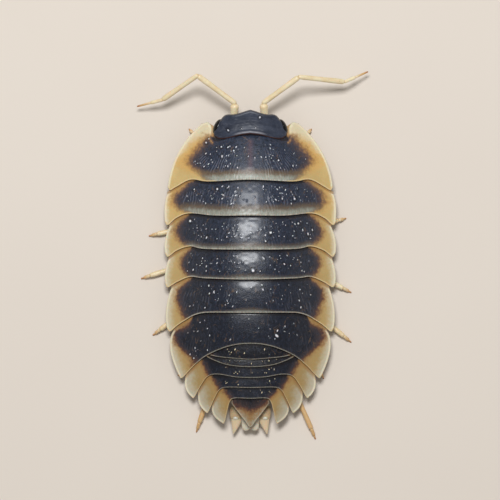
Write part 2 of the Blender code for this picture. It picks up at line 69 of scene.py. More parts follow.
Plate = namedtuple("Plate", "name rear margin side_x bend gap")
PEREON = (
    Plate("pereonite_1", 5.79, ((3.1, -0.12), (4.5, 0.03), (5.6, -0.5), (6.08, -0.76), (6.27, -0.5)),
          3.7, (5.95, 8.14), GAP),
    Plate("pereonite_2", 3.09, ((2.65, 0.0), (4.6, 0.17), (5.6, -0.17), (6.25, -0.7), (6.49, -0.48)),
          6.30, (6.62, 4.1), GAP),
    Plate("pereonite_3", 0.51, ((3.4, 0.06), (4.55, 0.25), (5.55, -0.05), (6.22, -0.53), (6.45, -0.32)),
          6.13, (6.68, 1.1), GAP),
    Plate("pereonite_4", -1.74, ((3.4, 0.09), (4.55, 0.19), (5.55, -0.2), (6.24, -0.6), (6.45, -0.38)),
          6.20, (6.60, -1.2), GAP),
    Plate("pereonite_5", -4.25, ((1.6, 0.01), (2.8, 0.01), (3.6, -0.03), (4.3, -0.23), (4.95, -0.6),
          (5.55, -1.0), (6.1, -1.45), (6.33, -1.2)), 5.98, (6.62, -4.0), GAP),
    Plate("pereonite_6", -6.59, ((1.6, -0.2), (3.2, -0.86), (4.2, -1.63), (5.16, -2.62), (5.42, -2.45)),
          5.83, (6.55, -6.7), GAP),
)
PLEON = (
    Plate("pleonite_1", -7.79, ((1.5, 0.1), (2.45, 0.2), (3.3, 0.38)), 3.3, None, GAP),
    Plate("pleonite_2", -8.36, ((1.6, 0.13), (2.7, 0.48), (3.45, 0.84)), 3.45, None, BAND_GAP),
    Plate("pleonite_3", -9.18, ((1.15, 0.05), (2.4, 0.25), (3.2, 0.1), (3.75, -0.62), (4.26, -1.53),
          (4.46, -1.48)), 4.9, (5.18, -10.1), BAND_GAP),
    Plate("pleonite_4", -9.95, ((1.8, 0.03), (2.35, -0.2), (2.75, -0.9), (3.2, -1.88), (3.41, -1.85)),
          3.97, (4.08, -11.3), BAND_GAP),
    Plate("pleonite_5", -10.77, ((1.2, 0.02), (1.55, -0.25), (1.72, -0.85), (1.97, -1.85), (2.16, -1.85)),
          2.92, (3.05, -12.1), BAND_GAP),
)
HEAD_SOCKET = ((0.0, 9.0), (1.2, 8.9), (2.3, 8.62), (2.9, 8.66), (3.1, 9.15), (3.08, 9.75),
               (3.1, 10.08), (3.26, 10.2), (3.7, 10.06))
HEAD_FRONT = ((0.0, 11.12), (0.42, 11.0), (0.9, 10.84), (1.3, 10.77), (1.7, 10.77), (1.95, 10.69),
              (2.13, 10.52), (2.24, 10.36))
HEAD_REAR = ((0.0, 9.27), (0.75, 9.18), (1.4, 9.01), (2.0, 8.91), (2.38, 8.92), (2.6, 9.04))
HEAD_BEND = (3.05, 9.4)
HEAD_TOP = ((11.4, 2.85), (10.9, 3.1), (10.0, 3.5), (9.2, 3.72))
HEAD_REACH = 2.7
HEAD_SIDE_DROP = 0.95
HEAD_SIDE_POWER = 2.4
CHIN_HEIGHT = 1.45
CHIN_REAR = 9.05
CHIN_LENGTH = 0.55
CHIN_WIDTH = 0.80
CHIN_SIDE = (1.4, 2.6)
CHIN_SIDE_RISE = 0.35
MOUTH_GROOVE = (0.14, 0.18)
MOUTH_SWELLING = (0.16, 0.5)
MOUTH_SPREAD = 0.75
EYE_CENTRE = (2.45, 9.82, 2.36)
EYE_RADII = (0.31, 0.60, 0.42)
EYE_TURN = 24
TELSON_EDGE = ((1.42, -11.15), (0.9, -11.85), (0.42, -12.45), (0.14, -12.86), (0.0, -12.93))
TELSON_RIDGE = ((-10.5, 2.72), (-11.7, 2.2), (-13.0, 1.78))
TELSON_CROWN = 0.22
TELSON_TIP_REACH = 0.2
TELSON_KEEL = (0.05, 0.22)
TELSON_FADE = 0.6
TELSON_RIM = 0.09
TELSON_BORDER = (0.35, 0.8)
ANTENNA_LEFT = ((-1.25, 10.8, 2.02), (-1.17, 11.62, 2.4), (-4.0, 13.7, 3.3), (-6.69, 11.88, 1.75),
                (-8.62, 11.4, 0.95))
ANTENNA_RIGHT = ((1.1, 10.8, 2.02), (1.0, 11.64, 2.4), (3.69, 13.59, 3.3), (7.16, 13.25, 1.75),
                 (8.96, 14.05, 0.95))
FEET_LEFT = ((-4.68, 9.72), (-5.9, 6.3), (-7.74, 1.55), (-8.33, -1.7), (-7.44, -6.02), (-5.5, -9.1),
             (-4.11, -13.4))
FEET_RIGHT = ((4.68, 9.72), (5.9, 6.1), (7.32, 2.91), (7.7, -2.76), (7.7, -6.55), (5.6, -9.3),
              (4.97, -13.93))
LEG_ROOT_X = (3.15, 3.15, 3.15, 3.15, 3.15, 3.15, 2.05)
LEG_ROOT_Y = (7.35, 4.9, 2.35, 0.0, -2.05, -3.85, -5.65)
LEG_ROOT_Z = 1.57
KNEE_X = (1.55, 1.55, 1.55, 1.55, 1.7, 1.9, 1.15)
KNEE_Z = 1.02
KNEE_SWING = 0.12
LEG_ARTICLES = ((0.17, 0.82, 0.27), (0.33, 0.64, 0.28), (0.52, 0.50, 0.26), (0.90, 0.40, 0.22),
                (1.00, 0.00, 0.15))
LEG_BOW = 0.30

# Tail appendages, each as a path, its half sizes across and up, the share of it that rounds off at its
# end, and how pale it is from start to end
Branch = namedtuple("Branch", "path sizes rounding pale")
UROPOD_BRANCHES = (
    Branch(((1.02, -11.35, 0.96), (1.06, -11.8, 0.97), (1.06, -12.44, 0.95)),
           ((0.40, 0.24), (0.50, 0.27), (0.44, 0.25)), 0.16, (0.0, 0.1)),
    Branch(((1.04, -12.2, 0.93), (1.07, -12.52, 0.90), (1.17, -13.02, 0.84), (1.28, -13.5, 0.78)),
           ((0.38, 0.20), (0.39, 0.22), (0.22, 0.16), (0.03, 0.04)), 0.02, (0.4, 0.7)),
    Branch(((0.85, -11.9, 0.90), (0.50, -12.35, 0.90), (0.34, -12.8, 0.90), (0.33, -13.25, 0.90)),
           ((0.18, 0.16), (0.24, 0.17), (0.32, 0.17), (0.33, 0.15)), 0.26, (0.9, 1.0)),
    # The joint knob, whose near-white paint is a painted highlight
    Branch(((0.96, -12.31, 1.13), (1.14, -12.28, 1.19), (1.32, -12.31, 1.11)),
           ((0.10, 0.07), (0.12, 0.07), (0.10, 0.07)), 0.5, (1.4, 1.4)),
)
BRANCH_START = 0.10
BRANCH_SIDES = 40
SIXTH_RING = (0.61, 0.98)
SEVENTH_REACH = 0.50
SEVENTH_DEPTH = 0.93
FLAP_DROP = 0.28

# How far the fine shell stays under the solids' top, so that its grains stay inside their box
SINK = 0.05

# Fine plates: mesh counts, the part that runs on under the plate in front, thickness and rolled rim
COLUMNS = 170
ROWS = 78
TAIL_COLUMNS = 110
TAIL_ROWS = 44
UNDER_ROWS = 9
UNDER_REACH = 0.50
UNDER_FADE = (0.88, 1.0)
SOCKET_FADE = (9.7, 10.15)
TUCK_GAP = 0.12
TUCK_BAND_GAP = 0.06
UNDER_DIP = 0.26
ROW_CROWDING = 1.6
COLUMN_CROWDING = 1.35
RIM_RADIUS = 0.07
RIM_THICK = 0.14
PLATE_THICK = 0.30
RIM_RUN = 1.2
BEAD_HEIGHT = 0.006
BEAD_PLACE = 0.10
BEAD_WIDTH = 0.045
REAR_DROOP = 0.02

# Relief in the plates, as swells of (height, cell), and striae as (height, spacing)
SWELLS = ((0.012, 0.6), (0.005, 0.2))
STRIAE = (0.016, 0.21)
GRAIN_HEIGHT = (0.012, 0.040)
GRAIN_RADIUS = (0.030, 0.056)
GRAIN_STRETCH = (1.0, 2.6)
# Painted dark ring of shade round each grain, as (strength, spread)
GRAIN_SHADE_RING = (0.5, 2.0)
GRAIN_ZONE = (0.4, 1.6, 3.9, 5.2)
TAIL_GRAIN_ZONE = (0.5, 1.0, 1.8, 2.3)
GRAIN_LEAN = (0.34, 0.35)
GRAIN_SPREAD = (0.12, 0.93)
GRAIN_CLEAR = (0.05, 0.35)
# Range of the painted glint's strength on each grain, squared once drawn
GRAIN_GLINT_PAINT = (0.30, 1.05)
LARGE_GRAIN_HEIGHT = 0.045
# Large grains that stand alone, as (x, y, radius, turn, stretch)
SINGLE_GRAINS = {
    "head": ((0.73, 10.54, 0.075, 0.0, 1.0), (-1.68, 9.55, 0.06, 0.5, 1.5), (-0.68, 9.68, 0.04, 0.0, 1.0),
             (0.42, 9.72, 0.04, 0.3, 1.6)),
    "pereonite_1": ((-3.14, 8.92, 0.06, 0.0, 1.0), (-3.35, 8.63, 0.065, 0.6, 1.3), (-2.19, 8.30, 0.07, 0.0, 1.0),
                    (-1.25, 8.0, 0.07, 0.0, 1.0), (2.13, 7.27, 0.07, 0.0, 1.0)),
    "pereonite_2": ((3.35, 4.36, 0.08, 0.3, 1.3), (-2.5, 5.1, 0.07, 0.0, 1.4)),
    "pereonite_3": ((-4.55, 2.69, 0.09, 0.2, 1.2), (3.63, 2.5, 0.07, 0.0, 1.2), (1.55, 1.8, 0.08, -0.3, 1.4)),
    "pereonite_4": ((0.21, -1.07, 0.12, 0.0, 1.0), (-2.75, 0.55, 0.07, 0.0, 1.2)),
    "pereonite_6": ((2.0, -5.98, 0.10, 0.8, 1.9), (2.05, -5.6, 0.06, -0.3, 1.8)),
}

# The first two tail plates run out under the sixth plate, by depth and where they start to sink
TUCK_DEPTH = 0.19
TUCK_START = (2.7, 3.3)

# Half width of the dark field on each plate, as (y, x)
DARK_EDGE = {
    "pereonite_1": ((9.6, 2.9), (9.1, 3.1), (8.5, 3.6), (7.9, 4.1), (7.4, 4.55), (7.1, 4.65), (6.8, 4.4),
                    (6.4, 4.0)),
    "pereonite_2": ((5.8, 4.3), (5.4, 4.7), (5.0, 5.2), (4.6, 5.55), (4.1, 5.7), (3.4, 5.3)),
    "pereonite_3": ((3.4, 4.5), (2.9, 4.9), (2.4, 5.35), (1.9, 5.6), (1.3, 5.4), (0.8, 5.1)),
    "pereonite_4": ((0.9, 4.4), (0.4, 4.75), (-0.1, 5.2), (-0.7, 5.3), (-1.4, 5.0)),
    "pereonite_5": ((-1.4, 4.4), (-1.9, 4.8), (-2.5, 5.45), (-3.3, 5.5), (-4.0, 5.25), (-4.7, 5.15)),
    "pereonite_6": ((-4.2, 4.6), (-5.0, 5.3), (-5.7, 5.6), (-6.2, 5.6), (-6.7, 5.4), (-7.2, 4.9),
                    (-7.8, 4.3)),
    "pleonite_1": ((-6.5, 4.0), (-8.0, 4.0)),
    "pleonite_2": ((-7.0, 4.0), (-8.6, 4.0)),
    "pleonite_3": ((-7.4, 3.95), (-8.2, 3.6), (-8.7, 3.3), (-9.2, 3.1)),
    "pleonite_4": ((-8.8, 3.15), (-9.3, 2.85), (-9.8, 2.5), (-10.2, 2.3)),
    "pleonite_5": ((-9.8, 2.25), (-10.2, 1.95), (-10.6, 1.6), (-11.0, 1.3)),
    "pleotelson": ((-10.6, 1.9), (-11.0, 1.5), (-11.35, 1.0), (-11.7, 0.3), (-12.1, -0.5), (-12.9, -1.4)),
}
# How far a dark field lies to the left of the middle
FIELD_SHIFT = {"pereonite_2": 0.10, "pereonite_3": 0.12, "pereonite_6": 0.15}
# How sharply the dark field ends
FIELD_EDGE = {"pereonite_1": 1.0, "pereonite_2": 1.15, "pereonite_3": 1.4, "pereonite_4": 1.6,
              "pereonite_5": 1.6, "pereonite_6": 1.4}
TAIL_FIELD_EDGE = 1.7
# Extra width and paleness of the rear band near the middle: a painted highlight where the raised lip catches the
# light
MIDDLE_HIGHLIGHT_BAND = {"pereonite_3": 0.10, "pereonite_4": 0.18, "pereonite_5": 0.24}
MIDDLE_HIGHLIGHT_PALENESS = 0.22
MIDDLE_HIGHLIGHT_WIDTH = 1.5
# Width of the pale band along each rear margin, how amber the horn is beside the dark field, and grains
REAR_BAND = {"pereonite_1": 0.72, "pereonite_2": 0.72, "pereonite_3": 0.38, "pereonite_4": 0.24,
             "pereonite_5": 0.14, "pereonite_6": 0.12}
TAIL_BAND = 0.08
BAND_PALENESS = {"pereonite_1": 0.95, "pereonite_2": 0.8, "pereonite_3": 0.42, "pereonite_4": 0.22,
                 "pereonite_5": 0.18, "pereonite_6": 0.18}
TAIL_PALENESS = 0.15
AMBER = {"pereonite_1": 0.9, "pereonite_2": 0.5, "pereonite_3": 0.3, "pereonite_4": 0.22,
         "pereonite_5": 0.2, "pereonite_6": 0.2, "pleotelson": 0.1}
TAIL_AMBER = 0.3
# How dark each plate's colours run, from the front back; the low values on the first two tail plates also paint
# the shade under the sixth plate
TONE = {"pereonite_1": 1.0, "pereonite_2": 0.96, "pereonite_3": 0.79, "pereonite_4": 0.72,
        "pereonite_5": 0.65, "pereonite_6": 0.50, "pleonite_1": 0.34, "pleonite_2": 0.30, "pleotelson": 0.14}
TAIL_TONE = 0.42
# How glossy each plate is, and how strongly it arches along its length
GLOSS = {"pereonite_1": 0.3, "pereonite_2": 0.5, "pereonite_3": 1.0, "pereonite_4": 1.0,
         "pereonite_5": 1.0, "pereonite_6": 0.6}
TAIL_GLOSS = 0.2
CAMBER = {"pereonite_1": 2.6, "pereonite_2": 1.9, "pereonite_3": 2.0, "pereonite_4": 3.1,
          "pereonite_5": 3.3, "pereonite_6": 2.2}
TAIL_CAMBER = 1.1
# Width of the glassy border along the sides, and how far the dark field's rear corners are cut in
BORDER = {"pereonite_1": 0.20, "pereonite_2": 0.42, "pereonite_3": 0.5, "pereonite_4": 0.6,
          "pereonite_5": 0.75, "pereonite_6": 0.8}
TAIL_BORDER = 1.0
LOBE_BORDER = 1.7
CORNER_CUT = {"pereonite_1": 1.2, "pereonite_2": 1.0, "pereonite_3": 0.6, "pereonite_4": 0.35,
              "pereonite_5": 0.35, "pereonite_6": 0.2}
CORNER_RUN = 0.45
# Horn that always stays along the side rim, as (width, how steeply the dark field begins inside it)
RIM_HORN = (0.22, 1.6)
# Where the dark field of a plate starts to draw back from the slanting edge of the plate ahead
SLANT = {"pereonite_5": (4.7, 5.3), "pereonite_6": (3.9, 4.6)}
SLANT_GAP = 0.30
GRAINS = {"pereonite_1": 105, "pereonite_2": 140, "pereonite_3": 140, "pereonite_4": 95,
          "pereonite_5": 75, "pereonite_6": 45}
TAIL_GRAINS = 14

# Where the first plate's dark field stops ahead, its amber fades into the lobes, and its striae centre
FIRST_DARK_FRONT = 9.1
FIRST_DARK_NECK = (2.6, 2.85)
FIRST_NECK_HORN = (0.06, 3.0)
FIRST_AMBER = (9.5, 8.5)
FIRST_AMBER_REAR = (0.15, 0.8)
FIRST_LOBES = (7.2, 9.2)
FIRST_ARCS = (0.2, 1.2, 3.2)
FIRST_PATCHES = 0.3
MIDDLE_WIDTH = 0.2
STRIAE_LEAN = 0.25
STRIAE_SHARE = {"pereonite_1": 1.0, "pereonite_2": 0.9, "pereonite_3": 0.5, "pereonite_4": 0.4,
                "pereonite_5": 0.6, "pereonite_6": 0.4}

# Head relief
HEAD_COLUMNS = 130
HEAD_ROWS = 110
HEAD_WALL = 26
HEAD_BULGE = 0.01
HEAD_GROOVE = (0.05, 0.16, 0.07)
HEAD_RIM = 1.4
HEAD_SWELLS = ((0.014, 0.5), (0.005, 0.2))
COLLAR = (0.05, 0.17, 0.12)
COLLAR_ENDS = (0.6, 2.0)
FACE_LINE = (0.02, 0.12, 0.07)
WRINKLES = (0.0015, 0.19)
BROW_HEIGHT = 0.04
BROW_REACH = (0.9, 1.7)

# Limbs: slimmer than the solids, with nested rounded articles and fine bristles
SLIM = 0.80
LIMB_SIDES = 28
ARTICLE_RINGS = 34
NEST = 0.55
ARTICLE_SWELL = ((0.0, 0.80), (0.12, 0.90), (0.45, 0.90), (0.80, 1.05), (0.94, 1.0), (1.0, 0.92))
BRISTLE_RADIUS = 0.011
# Parts of an antenna, with their first and last radii and the length of their bristles
ANTENNA_ARTICLES = (("base", 0.41, 0.37, 0.10), ("arm", 0.29, 0.26, 0.10), ("forearm", 0.26, 0.25, 0.10),
                    ("flagellum", 0.23, 0.05, 0.08))
COXA_RISE = 0.42
# How tan each leg is, from the first to the last, and the claws' start on that scale
LEG_TAN = (0.0, 0.0, 0.05, 0.05, 0.15, 0.3, 0.5)
CLAW_START = 0.6

EYE_DETAIL = 6
EYE_FACETS = 3
FACET_SPREAD = 0.20
FACET_DOME = 0.045

# Sternites, by the places of the joints between them
STERNITE_JOINTS = (9.0, 6.1, 3.6, 1.15, -1.0, -2.95, -4.75, -6.9)
STERNITE_THICK = 0.20
STERNITE_STEP = 0.08


Solid = namedtuple("Solid", "points faces marks")
Grain = namedtuple("Grain", "place radius height shine turn stretch")


def through(points):
    """A smooth line through the points, as an array of close places."""
    p = np.array(points, float)
    p = np.vstack([2 * p[0] - p[1], p, 2 * p[-1] - p[-2]])
    t = np.linspace(0, 1, CURVE_STEPS, endpoint=False)[:, None]
    spans = []
    for a, b, c, d in zip(p, p[1:], p[2:], p[3:]):
        spans.append(0.5 * (2 * b + (c - a) * t + (2 * a - 5 * b + 4 * c - d) * t**2
                            + (3 * b - a - 3 * c + d) * t**3))
    return np.vstack(spans + [p[-2:-1]])


def along(line, shares):
    """Places on a line at the given shares of its length."""
    steps = np.linalg.norm(np.diff(line, axis=0), axis=1)
    run = np.concatenate([[0], np.cumsum(steps)])
    run = run / run[-1]
    return np.column_stack([np.interp(shares, run, line[:, i]) for i in range(line.shape[1])])


def profile(points):
    """A function of y that runs smoothly through (y, value) points."""
    line = through(points)[::-1]
    return lambda y: np.interp(y, line[:, 0], line[:, 1])


half_width = profile(HALF_WIDTH)
ridge = profile(RIDGE)
edge_height = profile(EDGE)
belly = profile(BELLY)
head_top = profile(HEAD_TOP)
telson_ridge = profile(TELSON_RIDGE)


def ease(low, high, value):
    t = np.clip((value - low) / (high - low), 0, 1)
    return t * t * (3 - 2 * t)


def mound(x, height, spread):
    return height * np.exp(-((x / spread) ** 2))


def swell(xy, cell, seed):
    """Smooth random heights from -1 to 1 over a plan, about one cell across."""
    lattice = np.random.default_rng(seed).uniform(-1, 1, (64, 64))
    place = xy / cell + 500
    low = np.floor(place).astype(int)
    t = place - low
    t = t * t * (3 - 2 * t)
    i, j = low[..., 0], low[..., 1]
    near = lattice[i % 64, j % 64] * (1 - t[..., 0]) + lattice[(i + 1) % 64, j % 64] * t[..., 0]
    far = lattice[i % 64, (j + 1) % 64] * (1 - t[..., 0]) + lattice[(i + 1) % 64, (j + 1) % 64] * t[..., 0]
    return near * (1 - t[..., 1]) + far * t[..., 1]


def distance_to(xy, line):
    """Distance in plan from each point to a line of short steps."""
    flat = xy.reshape(-1, 2)
    best = np.full(len(flat), np.inf)
    for start, step in zip(line[:-1], np.diff(line, axis=0)):
        length = max(step @ step, 1e-12)
        t = np.clip(((flat - start) @ step) / length, 0, 1)
        best = np.minimum(best, np.linalg.norm(flat - start - t[:, None] * step, axis=1))
    return best.reshape(xy.shape[:-1])


def shell_height(x, y):
    """Height of the shell's dome: convex over the middle and flared towards the side edges."""
    t = np.clip(np.abs(x) / half_width(y), 0, 1)
    dome = (1 - EDGE_DROOP) * 0.5 * (1 + np.cos(math.pi * t**DOME_POWER)) + EDGE_DROOP * (1 - t**2)
    return edge_height(y) + (ridge(y) - edge_height(y)) * dome


def half_margin(plate, corner=True):
    """Rear margin of a plate from the midline outwards, with or without its rounded corner."""
    points = plate.margin if corner else plate.margin[:-1]
    line = through([(-points[0][0], points[0][1]), (0.0, 0.0)] + list(points))
    line = line[CURVE_STEPS:]
    line[:, 1] += plate.rear
    return line


def set_back(line, gap, side_x):
    """The line moved rearwards by the gap, square to itself, and run out to x = side_x."""
    way = np.gradient(line, axis=0)
    way /= np.linalg.norm(way, axis=1)[:, None]
    moved = line + gap * np.column_stack([way[:, 1], -way[:, 0]])
    moved[0, 0] = 0.0
    moved = np.vstack([moved, moved[-1] + way[-1] * RUN_OUT])
    moved = moved[moved[:, 0].argsort(kind="stable")]
    end = (side_x, np.interp(side_x, moved[:, 0], moved[:, 1]))
    return np.vstack([moved[moved[:, 0] < side_x], end])


def front_behind(plates, gap, side_x):
    """Front edge of the plate that follows: behind the rearmost of the margins given."""
    slant_gap = gap * math.hypot(1, LEAN)
    lines = [set_back(half_margin(p, p.bend is None), slant_gap, side_x) for p in plates]
    if len(lines) == 1:
        return lines[0]
    x = np.linspace(0, side_x, FRONT_STEPS)
    reach = plates[0].margin[-1][0] + END_CLEAR
    inner = np.where(x <= reach, np.interp(x, lines[0][:, 0], lines[0][:, 1]), np.inf)
    outer = np.interp(x, lines[1][:, 0], lines[1][:, 1])
    return np.column_stack([x, np.minimum(inner, outer)])


def crowded(count, power):
    """Shares from 0 to 1 that crowd towards 1."""
    return 1 - (1 - np.arange(count + 1) / count) ** power


def side_line(start, bend, end, v):
    """Side of a plate, which bends from its front corner to its rear one."""
    v = v[:, None]
    if bend is None:
        return (1 - v) * start + v * end
    return (1 - v) ** 2 * start + 2 * v * (1 - v) * np.array(bend) + v * v * end


def plan(front, rear, bend, u, v):
    """Grid of (x, y) over half a plate, between its front edge, rear margin and side."""
    f, r = along(front, u), along(rear, u)
    side = side_line(f[-1], bend, r[-1], v)
    straight = side_line(f[-1], None, r[-1], v)
    v = v[:, None, None]
    return (1 - v) * f + v * r + u[:, None] * (side - straight)[:, None]


def both_sides(half):
    """A half grid joined to its mirror image, from the left side to the right."""
    if half.ndim == 2:
        return np.concatenate([half[:, :0:-1], half], axis=1)
    left = half[:, :0:-1] * np.array([-1] + [1] * (half.shape[2] - 1))
    return np.concatenate([left, half], axis=1)


def quads(grid):
    return np.stack([grid[:-1, :-1], grid[:-1, 1:], grid[1:, 1:], grid[1:, :-1]], -1).reshape(-1, 4)


def border(grid):
    """The outer places of a grid, once round."""
    return np.concatenate([grid[0, :-1], grid[:-1, -1], grid[-1, :0:-1], grid[:0:-1, 0]])


def closed_sheet(top, bottom, marks, wall=1, bulge=None):
    """A closed plate between an upper and a lower grid of points, its rim in a number of rings."""
    count = top.shape[0] * top.shape[1]
    upper = np.arange(count).reshape(top.shape[:2])
    high, low = border(upper), border(upper + count)
    points = np.vstack([top.reshape(-1, 3), bottom.reshape(-1, 3)])
    values = {name: np.tile(value.ravel(), 2) for name, value in marks.items()}
    rings = [high]
    for share in np.arange(1, wall) / wall:
        ring = (1 - share) * points[high] + share * points[low]
        rings.append(len(points) + np.arange(len(ring)))
        points = np.vstack([points, bulge(ring, share)])
        values = {name: np.concatenate([value, value[high]]) for name, value in values.items()}
    rings.append(low)
    faces = [quads(upper)[:, ::-1], quads(upper + count)]
    for a, b in zip(rings, rings[1:]):
        faces.append(np.stack([a, np.roll(a, -1), np.roll(b, -1), b], -1))
    return Solid(points, faces, values)


def tube(path, wide, high, sides, marks):
    """A closed tube of oval section along a path, its rings level across. Marks hold a value for each ring."""
    way = np.gradient(path, axis=0)
    way /= np.linalg.norm(way, axis=1)[:, None]
    across = np.cross(way, (0, 0, 1))
    across /= np.linalg.norm(across, axis=1)[:, None]
    up = np.cross(across, way)
    turn = 2 * math.pi * np.arange(sides) / sides
    cos, sin = np.cos(turn)[:, None], np.sin(turn)[:, None]
    points = np.concatenate([p + w * cos * a + h * sin * b
                             for p, w, h, a, b in zip(path, wide, high, across, up)])
    grid = np.arange(len(points)).reshape(len(path), sides)
    grid = np.column_stack([grid, grid[:, 0]])
    faces = [quads(grid)[:, ::-1], grid[:1, :-1], grid[-1:, -2::-1]]
    return Solid(points, faces, {name: np.repeat(value, sides) for name, value in marks.items()})


def joined(solids):
    """Several closed surfaces in one mesh."""
    faces, shift = [], 0
    for solid in solids:
        faces += [f + shift for f in solid.faces]
        shift += len(solid.points)
    marks = {name: np.concatenate([s.marks[name] for s in solids]) for name in solids[0].marks}
    return Solid(np.vstack([s.points for s in solids]), faces, marks)


def mirrored(solid):
    return Solid(solid.points * (-1, 1, 1), [f[:, ::-1] for f in solid.faces], solid.marks)


def add_piece(name, solid, material, slot, *nodes):
    """A mesh of the object, riding on its one body and standing for the named solids."""
    mesh = bpy.data.meshes.new(name)
    corners = np.concatenate([f.ravel() for f in solid.faces])
    sizes = np.concatenate([np.full(len(f), f.shape[1]) for f in solid.faces])
    mesh.vertices.add(len(solid.points))
    mesh.vertices.foreach_set("co", (solid.points * MM).ravel())
    mesh.loops.add(len(corners))
    mesh.loops.foreach_set("vertex_index", corners)
    mesh.polygons.add(len(sizes))
    mesh.polygons.foreach_set("loop_start", np.cumsum(sizes) - sizes)
    mesh.update(calc_edges=True)
    mesh.shade_smooth()
    for mark, values in solid.marks.items():
        mesh.attributes.new(mark, "FLOAT", "POINT").data.foreach_set("value", np.float32(values))
    mesh.materials.append(material)
    obj = bpy.data.objects.new(name, mesh)
    bpy.context.scene.collection.objects.link(obj)
    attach(obj, "root")
    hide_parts(*nodes)
    return obj


def under_rows(front, line_way):
    """Rows that run on from a plate's front edge under what lies ahead of it, the farthest first."""
    share = np.arange(UNDER_ROWS, 0, -1) / UNDER_ROWS
    rows = np.array([front + s * line_way for s in share])
    return share, rows


def plate_grids(front, rear, bend, columns, rows, ahead):
    """Half grid of a plate with its hidden rows, the row shares, and its distances to margin and rim."""
    u = crowded(columns, COLUMN_CROWDING)
    v = crowded(rows, ROW_CROWDING)
    half = plan(front, rear, bend, u, v)
    share, hidden = under_rows(half[0], ahead(half[0]))
    grid = np.concatenate([hidden, half])
    v = np.concatenate([-share, v])
    side = side_line(front[-1], bend, rear[-1], np.linspace(0, 1, 40))
    return grid, v, distance_to(grid, rear), distance_to(grid, side)


def square_to(front):
    """Unit steps straight ahead of a front edge, square to it."""
    way = np.gradient(front, axis=0)
    way /= np.linalg.norm(way, axis=1)[:, None]
    square = np.column_stack([-way[:, 1], way[:, 0]])
    square[0] = (0.0, 1.0)
    return square


def ahead_of_front(front):
    """Square to the front edge, under the plate in front, fading out at the side."""
    reach = UNDER_REACH * (1 - 0.8 * ease(*UNDER_FADE, front[:, 0] / front[-1, 0]))
    return square_to(front) * reach[:, None]


def ahead_of_socket(front):
    """Square to the first plate's front edge, under the head, fading out at the front lobes."""
    reach = UNDER_REACH * (1 - ease(*SOCKET_FADE, front[:, 1]))
    return square_to(front) * reach[:, None]


def strewn_grains(xy, rng, count, zone, grid_v, inside):
    """Random small grains inside a plate's dark field, most of them beside its middle and leaning inwards, each
    with a random strength of painted glint.
    """
    in_rows = (grid_v > GRAIN_SPREAD[0]) & (grid_v < GRAIN_SPREAD[1])
    area = np.abs(np.gradient(xy[..., 0], axis=1) * np.gradient(xy[..., 1], axis=0))[in_rows].ravel()
    places = xy[in_rows].reshape(-1, 2)
    first, full, fading, last = zone
    out = np.abs(places[:, 0])
    chance = area * (0.2 + ease(first, full, out)) * ease(last, fading, out)
    chance *= 0.02 + ease(*GRAIN_CLEAR, inside[in_rows].ravel())
    grains = []
    for place in places[rng.choice(len(places), count, p=chance / chance.sum())]:
        turn = math.copysign(GRAIN_LEAN[0], place[0]) + rng.normal(0, GRAIN_LEAN[1])
        grains.append(Grain(place, rng.uniform(*GRAIN_RADIUS), rng.uniform(*GRAIN_HEIGHT),
                            rng.uniform(*GRAIN_GLINT_PAINT) ** 2, turn, rng.uniform(*GRAIN_STRETCH)))
    return grains


def grain_relief(xy, grains):
    """Heights of rounded grains over a plan, and a painted glint on each one inside a painted dark ring of
    shade.
    """
    heights, painted_glints = np.zeros(xy.shape[:2]), np.zeros(xy.shape[:2])
    for grain in grains:
        off = (xy - grain.place) / grain.radius
        wide = off[..., 0] * math.cos(grain.turn) + off[..., 1] * math.sin(grain.turn)
        long = off[..., 1] * math.cos(grain.turn) - off[..., 0] * math.sin(grain.turn)
        spread = wide ** 2 + (long / grain.stretch) ** 2
        hump = np.exp(-spread)
        # A painted dark ring of shade round the grain, and a painted glint on its top
        ring = GRAIN_SHADE_RING[0] * (np.exp(-spread / GRAIN_SHADE_RING[1] ** 2) - hump)
        heights = np.maximum(heights, grain.height * hump)
        glint_and_shade = np.maximum(painted_glints, grain.shine * hump) - grain.shine * ring
        painted_glints = np.where(np.maximum(hump, ring) > 0.02, glint_and_shade, painted_glints)
    return heights, painted_glints


def single_grains(name):
    """The few large grains that stand alone on a plate or the head, each with a full painted glint."""
    return [Grain(np.array((x, y)), radius, LARGE_GRAIN_HEIGHT, 1.0, turn, stretch)
            for x, y, radius, turn, stretch in SINGLE_GRAINS.get(name, ())]


def plate_rise(v, camber):
    """Rise of a plate over the dome from its sunken front to its rear lip, convex on the way."""
    on = np.clip(v, 0, 1)
    rise = -FRONT_DIP + (FRONT_DIP + LIP_LIFT) * (1 - (1 - on) ** camber)
    return rise - REAR_DROOP * ease(0.6, 1.0, on) + UNDER_DIP * np.minimum(v, 0)


def rolled(rim):
    """How far the surface falls at a rounded rim, by distance from it."""
    t = 1 - np.clip(rim / RIM_RADIUS, 0, 1)
    return RIM_RADIUS * (1 - np.sqrt(1 - t**2))


